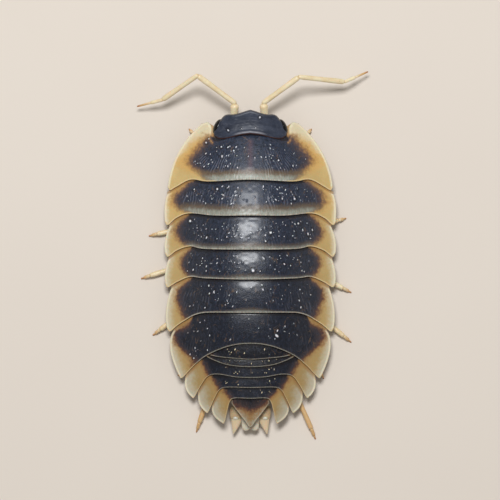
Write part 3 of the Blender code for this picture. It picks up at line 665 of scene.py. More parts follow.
def make_shell(number, plate, front, columns, rows, ahead=ahead_of_front):
    """One arched shell plate with rolled rims, grains and striae, hollow below."""
    rear = half_margin(plate)
    half, v, rear_far, side_far = plate_grids(front, rear, plate.bend, columns, rows, ahead)
    if number == 1:
        side_far = np.minimum(side_far, distance_to(half, front[front[:, 1] > 9.9]))
    xy = both_sides(half)
    rear_far, side_far = both_sides(rear_far), both_sides(side_far)
    rim = np.minimum(rear_far, side_far)
    x, y = xy[..., 0], xy[..., 1]
    far_in = np.interp(-y, [-a for a, _ in DARK_EDGE[plate.name]], [b for _, b in DARK_EDGE[plate.name]])
    out = np.abs(x + FIELD_SHIFT.get(plate.name, 0.0))
    dark = far_in - out - CORNER_CUT.get(plate.name, 0.0) * np.exp(-rear_far / CORNER_RUN)
    dark = FIELD_EDGE.get(plate.name, TAIL_FIELD_EDGE) * dark
    dark = np.minimum(dark, RIM_HORN[1] * (side_far - RIM_HORN[0]))
    amber = np.full_like(x, AMBER.get(plate.name, TAIL_AMBER))
    border = np.full_like(x, BORDER.get(plate.name, TAIL_BORDER))
    front_far = v[:, None] * np.ones_like(x) * abs(front[0, 1] - rear[0, 1])
    if number == 1:
        neck_horn = FIRST_NECK_HORN[1] * (both_sides(distance_to(half, front)) - FIRST_NECK_HORN[0])
        neck = ease(*FIRST_DARK_NECK[::-1], np.abs(x))
        dark = np.minimum(dark, np.minimum(2 * (FIRST_DARK_FRONT - y), neck_horn) + 2 * neck)
        amber = amber * ease(*FIRST_AMBER, y) * ease(*FIRST_AMBER_REAR, rear_far)
        border = border + (LOBE_BORDER - border) * ease(*FIRST_LOBES, y)
        # No painted groove shade along the first plate's front, which lies under the head
        front_far = front_far + 1
    if plate.name in SLANT:
        dark = np.minimum(dark, 1.5 * (front_far - SLANT_GAP) + 3 * ease(*SLANT[plate.name][::-1], np.abs(x)))
    rng = np.random.default_rng(number)
    relief = sum(height * swell(xy * (0.7, 1.0), cell, 10 * number + k)
                 for k, (height, cell) in enumerate(SWELLS))
    wander = 0.10 * swell(xy, 0.6, 70 + number)
    lines = np.abs(x) + STRIAE_LEAN * (y - plate.rear) + wander
    patches = swell(xy * (1.0, 0.6), 0.28, 80 + number)
    if number == 1:
        lines = lines + FIRST_ARCS[0] * (y - plate.rear) ** 2 * ease(*FIRST_ARCS[1:], np.abs(x))
        patches = patches + FIRST_PATCHES
    patches = ease(-0.1, 0.45, patches)
    # The ridge mark also paints a highlight on the striae's crests
    ridges = np.sin(2 * math.pi * lines / STRIAE[1]) * patches
    ridges *= ease(0.12, 0.4, v)[:, None] * ease(0.0, 0.8, dark) * ease(0.6, 1.6, np.abs(x))
    ridges *= STRIAE_SHARE.get(plate.name, 0.3)
    zone = GRAIN_ZONE if plate.name in GRAINS else TAIL_GRAIN_ZONE
    # Near the middle the band is wider and paler: a painted highlight on the lip
    band = REAR_BAND.get(plate.name, TAIL_BAND) + mound(x, MIDDLE_HIGHLIGHT_BAND.get(plate.name, 0.0), MIDDLE_HIGHLIGHT_WIDTH)
    pale = BAND_PALENESS.get(plate.name, TAIL_PALENESS) + mound(x, MIDDLE_HIGHLIGHT_PALENESS, MIDDLE_HIGHLIGHT_WIDTH) * (
        plate.name in MIDDLE_HIGHLIGHT_BAND)
    inside = np.minimum(dark, rear_far - band)
    strewn = strewn_grains(xy, rng, GRAINS.get(plate.name, TAIL_GRAINS), zone, v, inside)
    # The grain mark carries each grain's painted glint and painted dark ring of shade
    grains, painted_glints = grain_relief(xy, strewn + single_grains(plate.name))
    bead = mound(rim - BEAD_PLACE, BEAD_HEIGHT, BEAD_WIDTH)
    on_plate = ease(-0.05, 0.12, v)[:, None]
    base = shell_height(x, y) + plate_rise(v, CAMBER.get(plate.name, TAIL_CAMBER))[:, None] - SINK
    fall = np.where(v[:, None] >= 0, rolled(rim), rolled(side_far) * 0.5)
    if number in (len(PEREON) + 1, len(PEREON) + 2):
        base = base - TUCK_DEPTH * ease(*TUCK_START, np.abs(x))
        side_far = side_far + 1
    fine = relief * ease(0.0, 0.25, rim) + STRIAE[0] * ridges + grains * ease(0.05, 0.2, rim) + bead
    top = base + fine * on_plate - fall
    thick = RIM_THICK + (PLATE_THICK - RIM_THICK) * ease(0, RIM_RUN, rim)
    bottom = base - thick + 0.8 * fall
    marks = {"dark": dark, "rim": side_far, "rear": rear_far, "band": rear_far / band,
             "front": front_far, "amber": amber, "border": side_far / border, "grain": painted_glints,
             "ridge": ridges, "pale": pale,
             "tone": np.full_like(x, TONE.get(plate.name, TAIL_TONE)),
             "gloss": np.full_like(x, GLOSS.get(plate.name, TAIL_GLOSS)),
             "middle": mound(x, float(number == 1), MIDDLE_WIDTH) * ease(0.0, 0.1, v)[:, None]}
    return closed_sheet(np.dstack([xy, top]), np.dstack([xy, bottom]), marks)


def make_shells(material):
    for index, plate in enumerate(PEREON):
        if index == 0:
            solid = make_shell(1, plate, through(HEAD_SOCKET), COLUMNS, ROWS, ahead_of_socket)
        else:
            front = front_behind([PEREON[index - 1]], TUCK_GAP, plate.side_x)
            solid = make_shell(index + 1, plate, front, COLUMNS, ROWS)
        add_piece(f"{plate.name}_shell", solid, material, "shell", plate.name)
    for index, plate in enumerate(PLEON):
        before = {0: [PEREON[-1]], 2: [PLEON[1], PEREON[-1]]}.get(index, [PLEON[index - 1]])
        front = front_behind(before, TUCK_BAND_GAP, plate.side_x)
        solid = make_shell(len(PEREON) + index + 1, plate, front, TAIL_COLUMNS, TAIL_ROWS)
        add_piece(f"{plate.name}_shell", solid, material, "shell", plate.name)


def make_telson(material):
    """Three-sided tail plate with a blunt keel and streaks along it."""
    front = front_behind([PLEON[-1]], TUCK_BAND_GAP, TELSON_EDGE[0][0])
    rear = through(TELSON_EDGE)[::-1]
    half, v, rear_far, side_far = plate_grids(front, rear, None, TAIL_COLUMNS, TAIL_ROWS, ahead_of_front)
    xy = both_sides(half)
    rim = both_sides(np.minimum(rear_far, side_far))
    x, y = xy[..., 0], xy[..., 1]
    reach = np.maximum(np.abs(x).max(axis=1), TELSON_TIP_REACH)[:, None]
    keel = mound(x, *TELSON_KEEL) * ease(0.1, 0.5, v)[:, None]
    streaks = STRIAE[0] * np.sin(2 * math.pi * (x + 0.05 * swell(xy, 0.6, 91)) / 0.19)
    base = telson_ridge(y) - TELSON_CROWN * (x / reach) ** 2 - SINK + UNDER_DIP * np.minimum(v, 0)[:, None]
    top = base + (keel + streaks + 0.01 * swell(xy, 0.3, 92)) * ease(0.0, 0.2, rim) - rolled(rim)
    bottom = base - RIM_THICK - 0.12 * ease(0.0, 0.6, rim) + 0.8 * rolled(rim)
    far_in = np.interp(-y, [-a for a, _ in DARK_EDGE["pleotelson"]], [b for _, b in DARK_EDGE["pleotelson"]])
    none, all_over = np.zeros_like(x), np.ones_like(x)
    marks = {"dark": TELSON_FADE * (far_in - np.abs(x)), "rim": rim + TELSON_RIM, "rear": all_over,
             "band": all_over,
             "front": v[:, None] * abs(front[0, 1] - rear[0, 1]) * all_over,
             "amber": AMBER["pleotelson"] * all_over, "grain": none, "ridge": none, "pale": none,
             "border": TELSON_BORDER[0] + rim / TELSON_BORDER[1], "tone": TONE["pleotelson"] * all_over,
             "gloss": TAIL_GLOSS * all_over, "middle": none}
    solid = closed_sheet(np.dstack([xy, top]), np.dstack([xy, bottom]), marks)
    add_piece("pleotelson_shell", solid, material, "tail", "pleotelson")


def eye_distance(xy):
    """Distance in plan from the nearer eye's outline, as a share of its radii."""
    turn = math.radians(EYE_TURN)
    x, y = np.abs(xy[..., 0]) - EYE_CENTRE[0], xy[..., 1] - EYE_CENTRE[1]
    across = math.cos(turn) * x + math.sin(turn) * y
    down = -math.sin(turn) * x + math.cos(turn) * y
    return np.hypot(across / EYE_RADII[0], down / EYE_RADII[1])


def make_head(material):
    """Head capsule with a low three-cornered front, a collar at the rear and brows over the eyes."""
    u = crowded(HEAD_COLUMNS, COLUMN_CROWDING)
    t = np.linspace(0, 1, HEAD_ROWS)
    v = (1 - np.cos(math.pi * t)) / 2
    front, rear = through(HEAD_FRONT), through(HEAD_REAR)
    half = plan(front, rear, HEAD_BEND, u, v)
    side = side_line(front[-1], HEAD_BEND, rear[-1], np.linspace(0, 1, 40))
    front_far, rear_far = both_sides(distance_to(half, front)), both_sides(distance_to(half, rear))
    side_far = both_sides(distance_to(half, side))
    xy = both_sides(half)
    x, y = xy[..., 0], xy[..., 1]
    rim = np.minimum(np.minimum(front_far, rear_far), side_far)
    base = head_top(y) - HEAD_SIDE_DROP * (np.abs(x) / HEAD_REACH) ** HEAD_SIDE_POWER - SINK
    wander = 0.12 * swell(xy * (0.5, 1.0), 0.5, 31)
    wrinkles = WRINKLES[0] * np.sin(2 * math.pi * (y + wander) / WRINKLES[1]) * ease(0.1, 0.4, rim)
    collar = mound(rear_far - COLLAR[1], COLLAR[0], COLLAR[2]) * (1 - ease(*COLLAR_ENDS, np.abs(x)))
    face = mound(front_far - FACE_LINE[1], FACE_LINE[0], FACE_LINE[2])
    brow = BROW_HEIGHT * (1 - ease(*BROW_REACH, eye_distance(xy)))
    relief = sum(height * swell(xy, cell, 32 + k) for k, (height, cell) in enumerate(HEAD_SWELLS))
    # Painted glints and dark rings of shade on the head's large grains
    grains, painted_glints = grain_relief(xy, single_grains("head"))
    fall = HEAD_RIM * rolled(rim / HEAD_RIM)
    top = base + wrinkles + collar + face + brow + relief + grains * ease(0.1, 0.3, rim) - fall
    chin_y = np.where(y > CHIN_REAR, CHIN_REAR + (y - CHIN_REAR) * CHIN_LENGTH, y)
    mouth = mound(x, *MOUTH_GROOVE) - mound(np.abs(x) - MOUTH_SPREAD, *MOUTH_SWELLING)
    low = CHIN_HEIGHT + mouth + CHIN_SIDE_RISE * ease(*CHIN_SIDE, np.abs(x)) + 0.01 * swell(xy, 0.25, 35)
    bottom = np.dstack([x * CHIN_WIDTH, chin_y, low])
    # The collar mark paints a highlight along the collar's crest
    marks = {"rear": rear_far, "rim": front_far, "collar": collar / COLLAR[0],
             "grain": painted_glints, "eye": eye_distance(xy)}

    def bulge(ring, share):
        """Rounds the head's walls outwards, with a groove below the brow."""
        out = ring[:, :2] - (0, 9.9)
        out /= np.linalg.norm(out, axis=1)[:, None]
        depth, place, width = HEAD_GROOVE
        amount = HEAD_BULGE * math.sin(math.pi * share) - mound(share - place, depth, width)
        moved = ring.copy()
        moved[:, :2] += out * amount
        return moved

    solid = closed_sheet(np.dstack([xy, top]), bottom, marks, HEAD_WALL, bulge)
    add_piece("head_capsule", solid, material, "shell", "head")


def make_eyes(material):
    """Oval black eyes built up of small domed facets."""
    fine, coarse = bmesh.new(), bmesh.new()
    bmesh.ops.create_icosphere(fine, subdivisions=EYE_DETAIL, radius=1.0)
    bmesh.ops.create_icosphere(coarse, subdivisions=EYE_FACETS, radius=1.0)
    points = np.array([v.co for v in fine.verts])
    faces = np.array([[v.index for v in f.verts] for f in fine.faces])
    peaks = np.array([v.co for v in coarse.verts])
    fine.free()
    coarse.free()
    near = np.min([np.linalg.norm(points - peak, axis=1) for peak in peaks], axis=0)
    dome = np.sqrt(np.clip(1 - (near / FACET_SPREAD) ** 2, 0, 1))
    points = points * (1 + FACET_DOME * dome)[:, None] * EYE_RADII
    marks = {"seam": 1 - dome}
    for side, word in ((1, "right"), (-1, "left")):
        turn = math.radians(EYE_TURN)
        across = points[:, 0] * math.cos(turn) - points[:, 1] * math.sin(turn)
        down = points[:, 0] * math.sin(turn) + points[:, 1] * math.cos(turn)
        solid = Solid(np.column_stack([across, down, points[:, 2]]) + EYE_CENTRE, [faces], marks)
        if side < 0:
            solid = mirrored(solid)
        add_piece(f"eye_{word}_facets", solid, material, "eye", f"eye_{word}")


def article(start, end, first, last, tips=(0.0, 0.0)):
    """One rounded, slightly club-shaped length of a limb, sunk a little into the one before it."""
    start, end = np.array(start, float), np.array(end, float)
    way = (end - start) / np.linalg.norm(end - start)
    start = start - way * first * NEST
    length = np.linalg.norm(end - start)
    run = (1 - np.cos(np.linspace(0, math.pi, ARTICLE_RINGS))) / 2
    radius = (first + (last - first) * run) * np.interp(run, *zip(*ARTICLE_SWELL))
    begun = np.clip(run * length / first, 0, 1)
    left = np.clip((1 - run) * length / max(last, 0.1), 0, 1)
    radius = np.maximum(radius * np.sqrt((1 - (1 - begun) ** 2) * (1 - (1 - left) ** 2)), 0.002)
    joint = np.exp(-run * length / 0.12) + np.exp(-(1 - run) * length / 0.10)
    path = start + run[:, None] * (end - start)
    marks = {"joint": joint, "tip": tips[0] + (tips[1] - tips[0]) * run}
    return tube(path, radius, radius, LIMB_SIDES, marks)


def bristles(start, end, radius, count, length, rng, lean=0.8):
    """Fine tapered bristles rooted in an article, leaning towards its far end."""
    start, end = np.array(start, float), np.array(end, float)
    way = (end - start) / np.linalg.norm(end - start)
    across = np.cross(way, (0.1, 0.2, 1.0))
    across /= np.linalg.norm(across)
    up = np.cross(across, way)
    turn = rng.uniform(0, 2 * math.pi, count)
    out = np.cos(turn)[:, None] * across + np.sin(turn)[:, None] * up
    root = start + rng.uniform(0.08, 0.97, count)[:, None] * (end - start) + 0.6 * radius * out
    aim = out + lean * way
    aim /= np.linalg.norm(aim, axis=1)[:, None]
    apex = root + aim * (0.4 * radius + length * rng.uniform(0.6, 1.2, count))[:, None]
    side_a = np.cross(aim, way)
    side_a /= np.linalg.norm(side_a, axis=1)[:, None]
    side_b = np.cross(aim, side_a)
    base = [root + BRISTLE_RADIUS * s for s in (side_a, side_b, -side_a, -side_b)]
    points = np.concatenate(base + [apex])
    points[:, 2] = np.maximum(points[:, 2], 0.01)
    n = np.arange(count)
    slopes = [np.stack([n + k * count, n + (k + 1) % 4 * count, n + 4 * count], -1) for k in range(4)]
    foot = np.stack([n, n + 3 * count, n + 2 * count, n + count], -1)
    plain = np.zeros(len(points))
    return Solid(points, [np.concatenate(slopes), foot], {"joint": plain, "tip": plain - 1})


def make_antennae(material):
    """Two jointed antennae, each with a three-part stalk and a thin flagellum of two rings and a tip."""
    for side, word, joints in ((-1, "left", ANTENNA_LEFT), (1, "right", ANTENNA_RIGHT)):
        for n, (part, first, last, fuzz) in enumerate(ANTENNA_ARTICLES):
            rng = np.random.default_rng(100 + 10 * n + side)
            start, end = np.array(joints[n]), np.array(joints[n + 1])
            first, last = first * SLIM, last * SLIM
            if part == "base":
                start = start + (0, -0.35, -0.05)
            if part == "flagellum":
                middle = start + 0.46 * (end - start)
                mean = 0.72 * first
                pieces = [article(start, middle, 0.8 * first, mean),
                          article(middle, end, 0.85 * mean, 0.30 * first, (0.0, 1.0))]
            else:
                pieces = [article(start, end, first, last)]
            pieces.append(bristles(start, end, min(first, last) * 0.8, 70, fuzz, rng))
            add_piece(f"antenna_{word}_{part}_article", joined(pieces), material, "limb",
                      f"antenna_{word}_{part}")


def leg_joints(root, knee_x, foot, side):
    """Joints of a leg from its root in to the knee and out to the foot, with a slight outward bow."""
    root = np.array(root, float)
    foot = np.array((foot[0], foot[1], 0.0))
    reach = foot[1] - root[1]
    knee = np.array((side * knee_x, root[1] + KNEE_SWING * reach, KNEE_Z))
    straight = foot - knee
    bow = np.array((-straight[1], straight[0], 0.0))
    bow *= LEG_BOW * side * (-1 if reach > 0 else 1) / np.linalg.norm(bow)
    joints, thick = [knee], []
    for share, height, radius in LEG_ARTICLES:
        place = knee + share * straight + bow * math.sin(math.pi * share)
        place[2] = height
        joints.append(place)
        thick.append(radius)
    return root, joints, thick


def make_leg(name, root, knee_x, foot, side, tan, rng, material):
    """A leg of seven parts: coxa, a basis that runs in, and five articles out to the claw."""
    root, joints, thick = leg_joints(root, knee_x, foot, side)
    coxa = root + (0.12 * side, 0, COXA_RISE)
    pieces = [article(coxa, root, 0.34, 0.30), article(root, joints[0], 0.30 * SLIM, 0.27 * SLIM),
              bristles(root, joints[0], 0.2, 10, 0.12, rng)]
    radii = [thick[0]] + thick
    for n, (start, end) in enumerate(zip(joints, joints[1:])):
        first, last = radii[n] * SLIM, radii[n + 1] * SLIM
        if n == len(thick) - 1:
            low = np.array((end[0], end[1], 0.05))
            knuckle = start + 0.62 * (low - start)
            pieces += [article(start, knuckle, 0.16, 0.11, (tan, CLAW_START)),
                       article(knuckle, low, 0.085, 0.045, (CLAW_START, 1.0))]
            pieces.append(bristles(start, knuckle, 0.1, 8, 0.10, rng))
        else:
            pieces += [article(start, end, first, last, (tan, tan)),
                       bristles(start, end, min(first, last) * 0.85, 16, 0.15, rng)]
    solid = joined(pieces)
    solid.points[:, 2] = np.maximum(solid.points[:, 2], 0.004)
    add_piece(f"{name}_articles", solid, material, "limb", name)


def make_legs(material):
    rng = np.random.default_rng(7)
    for side, word, feet in ((-1, "left", FEET_LEFT), (1, "right", FEET_RIGHT)):
        for n, (x, y, knee_x, foot) in enumerate(zip(LEG_ROOT_X, LEG_ROOT_Y, KNEE_X, feet), start=1):
            root = (side * x, y, LEG_ROOT_Z)
            make_leg(f"leg_{word}_{n}", root, knee_x, foot, side, LEG_TAN[n - 1], rng, material)


def make_uropods(material):
    """Tail appendages: a broad stem, a pointed outer branch, a round inner one and a glossy joint knob painted
    near-white as its highlight.
    """
    rng = np.random.default_rng(8)
    parts = []
    for branch in UROPOD_BRANCHES:
        line, sizes = through(branch.path), through(branch.sizes)
        run = np.linspace(0, 1, len(line))
        begun, left = np.clip(run / BRANCH_START, 0, 1), np.clip((1 - run) / branch.rounding, 0, 1)
        cap = np.sqrt((1 - (1 - begun) ** 2) * (1 - (1 - left) ** 2))[:, None]
        wide, high = np.maximum(sizes * cap, 0.004).T
        pale = branch.pale[0] + (branch.pale[1] - branch.pale[0]) * run
        parts.append(tube(line, wide, high, BRANCH_SIDES, {"joint": np.exp(-run / 0.08), "tip": pale}))
        if branch.pale[1] < 1:
            parts.append(bristles(branch.path[0], branch.path[-1], sizes[:, 1].min() * 0.9, 24, 0.10, rng))
    right = joined(parts)
    for side, word in ((1, "right"), (-1, "left")):
        solid = right if side > 0 else mirrored(right)
        add_piece(f"uropod_{word}_branches", solid, material, "tail", f"uropod_{word}")


def make_sternites(material):
    """Underside of the trunk as seven bands that step down towards the rear, up to the plates' undersides."""
    for n, (ahead, behind) in enumerate(zip(STERNITE_JOINTS, STERNITE_JOINTS[1:]), start=1):
        v = np.linspace(0, 1, 24)
        y = ahead + v * (behind - 0.12 - ahead)
        share = np.linspace(-EPIMERON_SHARE, EPIMERON_SHARE, 90)
        xy = np.dstack([share * half_width(y)[:, None], np.repeat(y[:, None], len(share), axis=1)])
        top = shell_height(xy[..., 0], xy[..., 1]) - FRONT_DIP - SINK - PLATE_THICK - 0.16
        rise = ease(BELLY_SHARE, EPIMERON_SHARE, np.abs(share))
        low = belly(xy[..., 1]) + (top - STERNITE_THICK - belly(xy[..., 1])) * rise
        step = STERNITE_STEP * (v[:, None] - 0.5) * (1 - rise) - mound(xy[..., 0], 0.03, 0.5)
        low = low - step - 0.012 * swell(xy, 0.35, 40 + n)
        marks = {"fold": v[:, None] * np.ones(xy.shape[:2]), "side": np.abs(xy[..., 0])}
        solid = closed_sheet(np.dstack([xy, low + STERNITE_THICK]), np.dstack([xy, low]), marks)
        node = f"pereonite_{n}"
        add_piece(f"{node}_sternite", solid, material, "limb", node)
    for n, plate in enumerate(PLEON, start=1):
        add_piece(f"{plate.name}_gill_flaps", gill_flaps(n, plate), material, "limb", plate.name)


def gill_flaps(n, plate):
    """A pair of leaf-like flaps below one tail segment, deepest at the rear."""
    v, u = np.linspace(0, 1, 30), np.linspace(0, 1, 40)
    width = 2.25 - 0.27 * n
    length = 1.45
    front = plate.rear + 0.75
    x = 0.07 + width * u * (1 - 0.35 * v[:, None] ** 2)
    y = front - length * v[:, None] * (1 - 0.22 * u**2)
    top = belly(y) - 0.02 - 0.10 * v[:, None]
    arch = np.sqrt(np.clip(1 - (2 * u - 1) ** 6, 0, 1)) * np.sqrt(np.clip(1 - (2 * v[:, None] - 1) ** 6, 0, 1))
    low = top - 0.03 - (0.05 + FLAP_DROP * 0.5 * v[:, None]) * arch
    xy = np.dstack([x, y])
    marks = {"fold": v[:, None] * np.ones_like(x), "side": x}
    right = closed_sheet(np.dstack([xy, top]), np.dstack([xy, low]), marks)
    return joined([right, mirrored(right)])


def make_ring(material):
    """The short seventh ring, hidden under the rear of the sixth plate."""
    plate = PEREON[-1]
    front = front_behind([PEREON[-2]], plate.gap, plate.side_x)
    share = np.linspace(*SIXTH_RING, 20)
    half = plan(front, half_margin(plate), plate.bend, np.linspace(0, SEVENTH_REACH, 60), share)
    xy = both_sides(half)
    shell = shell_height(xy[..., 0], xy[..., 1]) + LIP_LIFT * share[:, None] ** 2
    top = shell - SEVENTH_DEPTH
    marks = {"fold": share[:, None] * np.ones(xy.shape[:2]), "side": np.abs(xy[..., 0])}
    solid = closed_sheet(np.dstack([xy, top]), np.dstack([xy, top - STERNITE_THICK]), marks)
    add_piece("pereonite_7_ring", solid, material, "shell", "pereonite_7")


def srgb(red, green, blue):
    """A colour from its 0 to 255 display values, as the shader takes it."""
    def linear(value):
        c = value / 255
        return c / 12.92 if c <= 0.04045 else ((c + 0.055) / 1.055) ** 2.4
    return (linear(red), linear(green), linear(blue), 1.0)


class Paint:
    """A material built up in small steps, with its patterns placed in millimetres."""

    def __init__(self, name, **uniform):
        self.material = bpy.data.materials.new(name)
        self.material.use_nodes = True
        self.tree = self.material.node_tree
        self.shader = self.tree.nodes["Principled BSDF"]
        for socket, value in uniform.items():
            self.shader.inputs[socket.replace("_", " ")].default_value = value
        where = self.node("ShaderNodeTexCoord", {}).outputs["Object"]
        self.place = self.node("ShaderNodeVectorMath", {0: where, "Scale": 1 / MM}, operation="SCALE").outputs[0]

    def node(self, kind, inputs, **settings):
        made = self.tree.nodes.new(kind)
        for name, value in settings.items():
            setattr(made, name, value)
        for socket, value in inputs.items():
            self.put(made.inputs[socket], value)
        return made

    def put(self, socket, value):
        if isinstance(value, bpy.types.NodeSocket):
            self.tree.links.new(value, socket)
        else:
            socket.default_value = value

    def mark(self, name):
        return self.node("ShaderNodeAttribute", {}, attribute_name=name).outputs["Fac"]

    def math(self, operation, a, b=0.0, clamp=False):
        return self.node("ShaderNodeMath", {0: a, 1: b}, operation=operation, use_clamp=clamp).outputs[0]

    def step(self, value, low, high):
        """0 below low, 1 above high and smooth between, or the other way round if low is the larger."""
        inputs = {"Value": value, "From Min": low, "From Max": high}
        return self.node("ShaderNodeMapRange", inputs, interpolation_type="SMOOTHSTEP").outputs["Result"]

    def between(self, value, low, high, new_low, new_high):
        inputs = {"Value": value, "From Min": low, "From Max": high, "To Min": new_low, "To Max": new_high}
        return self.node("ShaderNodeMapRange", inputs).outputs["Result"]

    def mix(self, factor, a, b):
        return self.node("ShaderNodeMix", {0: factor, 6: a, 7: b}, data_type="RGBA").outputs[2]

    def stretched(self, stretch):
        if stretch == (1, 1, 1):
            return self.place
        return self.node("ShaderNodeVectorMath", {0: self.place, 1: stretch}, operation="MULTIPLY").outputs[0]

    def noise(self, scale, detail=3.0, stretch=(1, 1, 1), twist=0.0):
        inputs = {"Vector": self.stretched(stretch), "Scale": scale, "Detail": detail, "Distortion": twist}
        return self.node("ShaderNodeTexNoise", inputs).outputs[0]

    def cells(self, scale, stretch=(1, 1, 1), feature="F1"):
        inputs = {"Vector": self.stretched(stretch), "Scale": scale}
        return self.node("ShaderNodeTexVoronoi", inputs, feature=feature).outputs["Distance"]

    def bump(self, height, depth, under=None):
        inputs = {"Height": height, "Distance": depth * MM}
        made = self.node("ShaderNodeBump", inputs)
        if under is not None:
            self.put(made.inputs["Normal"], under)
        return made.outputs["Normal"]

    def finish(self, colour, roughness, normal):
        self.put(self.shader.inputs["Base Color"], colour)
        self.put(self.shader.inputs["Roughness"], roughness)
        self.put(self.shader.inputs["Normal"], normal)
        return self.material


def shell_material():
    """Slate plates that turn through brown and amber to honey, with greyish see-through-looking borders whose
    grey is partly painted shade seen through the horn.
    """
    p = Paint("shell", Coat_Roughness=0.22, Subsurface_Weight=0.1, Subsurface_Scale=0.0003,
              Specular_IOR_Level=0.3)
    dark, rim, rear, band, front = (p.mark(n) for n in ("dark", "rim", "rear", "band", "front"))
    amber, border, grain, ridges = (p.mark(n) for n in ("amber", "border", "grain", "ridge"))
    pale, tone, middle, gloss = (p.mark(n) for n in ("pale", "tone", "middle", "gloss"))
    blotch = p.noise(0.75, 4.0)
    fine = p.noise(4.5, 4.0)
    speck = p.noise(9.0, 3.0, (1.2, 0.8, 1))
    fibre = p.noise(5.5, 4.0, (1.1, 0.5, 1), 0.8)
    depth = p.step(tone, 0.5, 1.0)
    wobble = p.math("ADD", p.between(blotch, 0.25, 0.75, -0.20, 0.20), p.between(fine, 0.2, 0.8, -0.24, 0.24))
    edge = p.math("ADD", dark, wobble)
    # Horn of the side plates: glassy at the border, honey further in, amber next to the dark field
    # The glassy border's grey is partly the horn's own tint and partly painted shade seen through it, more so on
    # the darker plates
    glassy = p.mix(tone, srgb(162, 157, 144), srgb(218, 205, 172))
    honey = p.mix(tone, srgb(128, 104, 68), srgb(206, 178, 120))
    honey = p.mix(p.math("MULTIPLY", p.step(blotch, 0.35, 0.65), 0.3), honey, srgb(176, 146, 90))
    colour = p.mix(p.step(p.math("ADD", border, p.between(fine, 0.2, 0.8, -0.2, 0.2)), 0.1, 1.1), glassy, honey)
    warm = p.math("MULTIPLY", p.step(edge, -1.7, -0.5), amber)
    colour = p.mix(warm, colour, p.mix(tone, srgb(160, 116, 66), srgb(208, 166, 98)))
    colour = p.mix(p.math("MULTIPLY", p.step(edge, -0.75, -0.15), 0.7), colour, srgb(150, 108, 66))
    colour = p.mix(p.step(edge, -0.36, 0.12), colour, p.mix(depth, srgb(96, 62, 48), srgb(106, 82, 72)))
    # Slate of the dark field, brown towards its edge, with mottling, brown strokes, and striae with a painted
    # highlight on their crests
    # Deeper slate on the tail; on the first two tail plates it is also painted shade under the sixth plate
    deep_and_shaded_slate = p.mix(p.step(tone, 0.50, 0.30), srgb(24, 29, 42), srgb(10, 12, 20))
    slate = p.mix(depth, deep_and_shaded_slate, srgb(41, 49, 66))
    slate = p.mix(p.math("MULTIPLY", p.step(fine, 0.50, 0.36), 0.6), slate, srgb(14, 15, 22))
    slate = p.mix(p.math("MULTIPLY", p.step(fibre, 0.50, 0.70), p.between(depth, 0, 1, 0.22, 0.4)), slate,
                  srgb(74, 80, 98))
    slate = p.mix(p.math("MULTIPLY", p.step(speck, 0.58, 0.72), p.between(depth, 0, 1, 0.2, 0.4)), slate,
                  srgb(80, 86, 104))
    slate = p.mix(p.math("MULTIPLY", p.step(edge, 1.1, 0.1), 0.5), slate, srgb(84, 70, 70))
    strokes = p.math("ABSOLUTE", p.math("SUBTRACT", p.noise(1.2, 1.5, (1.3, 0.8, 1), 0.8), 0.5))
    strokes = p.math("MULTIPLY", p.step(strokes, 0.022, 0.0), p.step(p.noise(1.5, 2.0), 0.50, 0.62))
    slate = p.mix(p.math("MULTIPLY", strokes, 0.6), slate, srgb(112, 88, 66))
    # Painted highlight on the crests of the striae
    slate = p.mix(p.math("MULTIPLY", p.step(ridges, 0.15, 0.9), 0.65), slate, srgb(104, 107, 122))
    slate = p.mix(p.math("MULTIPLY", middle, 0.65), slate, srgb(86, 66, 76))
    inside = p.step(edge, -0.08, 0.42)
    colour = p.mix(inside, colour, slate)
    # Pale band along the rear margin, brown ahead of it, wider and paler near the middle as a painted highlight
    # on the lip
    soft = p.math("ADD", band, p.between(fine, 0.2, 0.8, -0.14, 0.14))
    ahead = p.math("MULTIPLY", p.step(soft, 1.40, 0.75), p.step(edge, -0.9, 0.1))
    colour = p.mix(p.math("MULTIPLY", p.math("MULTIPLY", ahead, pale), 0.85), colour, srgb(114, 96, 74))
    streak = p.step(p.noise(6.0, 3.0, (2.5, 0.4, 1)), 0.35, 0.65)
    greenish = p.mix(streak, srgb(144, 145, 133), srgb(169, 172, 160))
    near_margin = p.math("MULTIPLY", p.step(soft, 0.85, 0.28), p.step(edge, -0.6, 0.4))
    colour = p.mix(p.math("MULTIPLY", near_margin, pale), colour, greenish)
    # Painted glints on the grains, each inside a painted dark ring of shade
    on_dark = p.step(edge, -0.6, 0.2)
    colour = p.mix(p.math("MULTIPLY", p.step(grain, -0.03, -0.22), on_dark), colour, srgb(16, 17, 24))
    painted_glint_colour = p.mix(p.step(tone, 0.42, 0.5), srgb(232, 214, 178), srgb(226, 226, 230))
    colour = p.mix(p.math("MULTIPLY", p.step(grain, 0.10, 0.70), on_dark), colour, painted_glint_colour)
    # Thin pale rims, brighter on the sides than on the rear margins, and painted shade in the groove in front
    colour = p.mix(p.math("MULTIPLY", p.step(rim, 0.20, 0.05), 0.8), colour, srgb(232, 221, 192))
    lip = p.mix(inside, srgb(232, 206, 156), p.mix(streak, srgb(158, 152, 142), srgb(206, 200, 184)))
    lip_edge = p.step(rear, p.between(tone, 0.42, 0.8, 0.08, 0.13), 0.04)
    lip_share = p.math("MULTIPLY", lip_edge, p.between(tone, 0.42, 0.65, 0.5, 0.85))
    colour = p.mix(lip_share, colour, lip)
    # Painted shade in the groove behind the plate ahead: near-black on the slate, darker honey on the horn
    painted_groove_shade = p.mix(inside, srgb(164, 124, 74), srgb(20, 16, 18))
    colour = p.mix(p.math("MULTIPLY", p.step(front, 0.18, 0.02), 0.75), colour, painted_groove_shade)
    normal = p.bump(fibre, 0.005)
    normal = p.bump(p.noise(12.0, 3.0), 0.026, normal)
    p.put(p.shader.inputs["Coat Weight"], p.math("MULTIPLY", gloss, p.between(fine, 0.2, 0.8, 0.42, 0.28)))
    rough = p.math("SUBTRACT", p.between(fine, 0.2, 0.8, 0.40, 0.56), p.math("MULTIPLY", gloss, 0.10))
    return p.finish(colour, rough, normal)


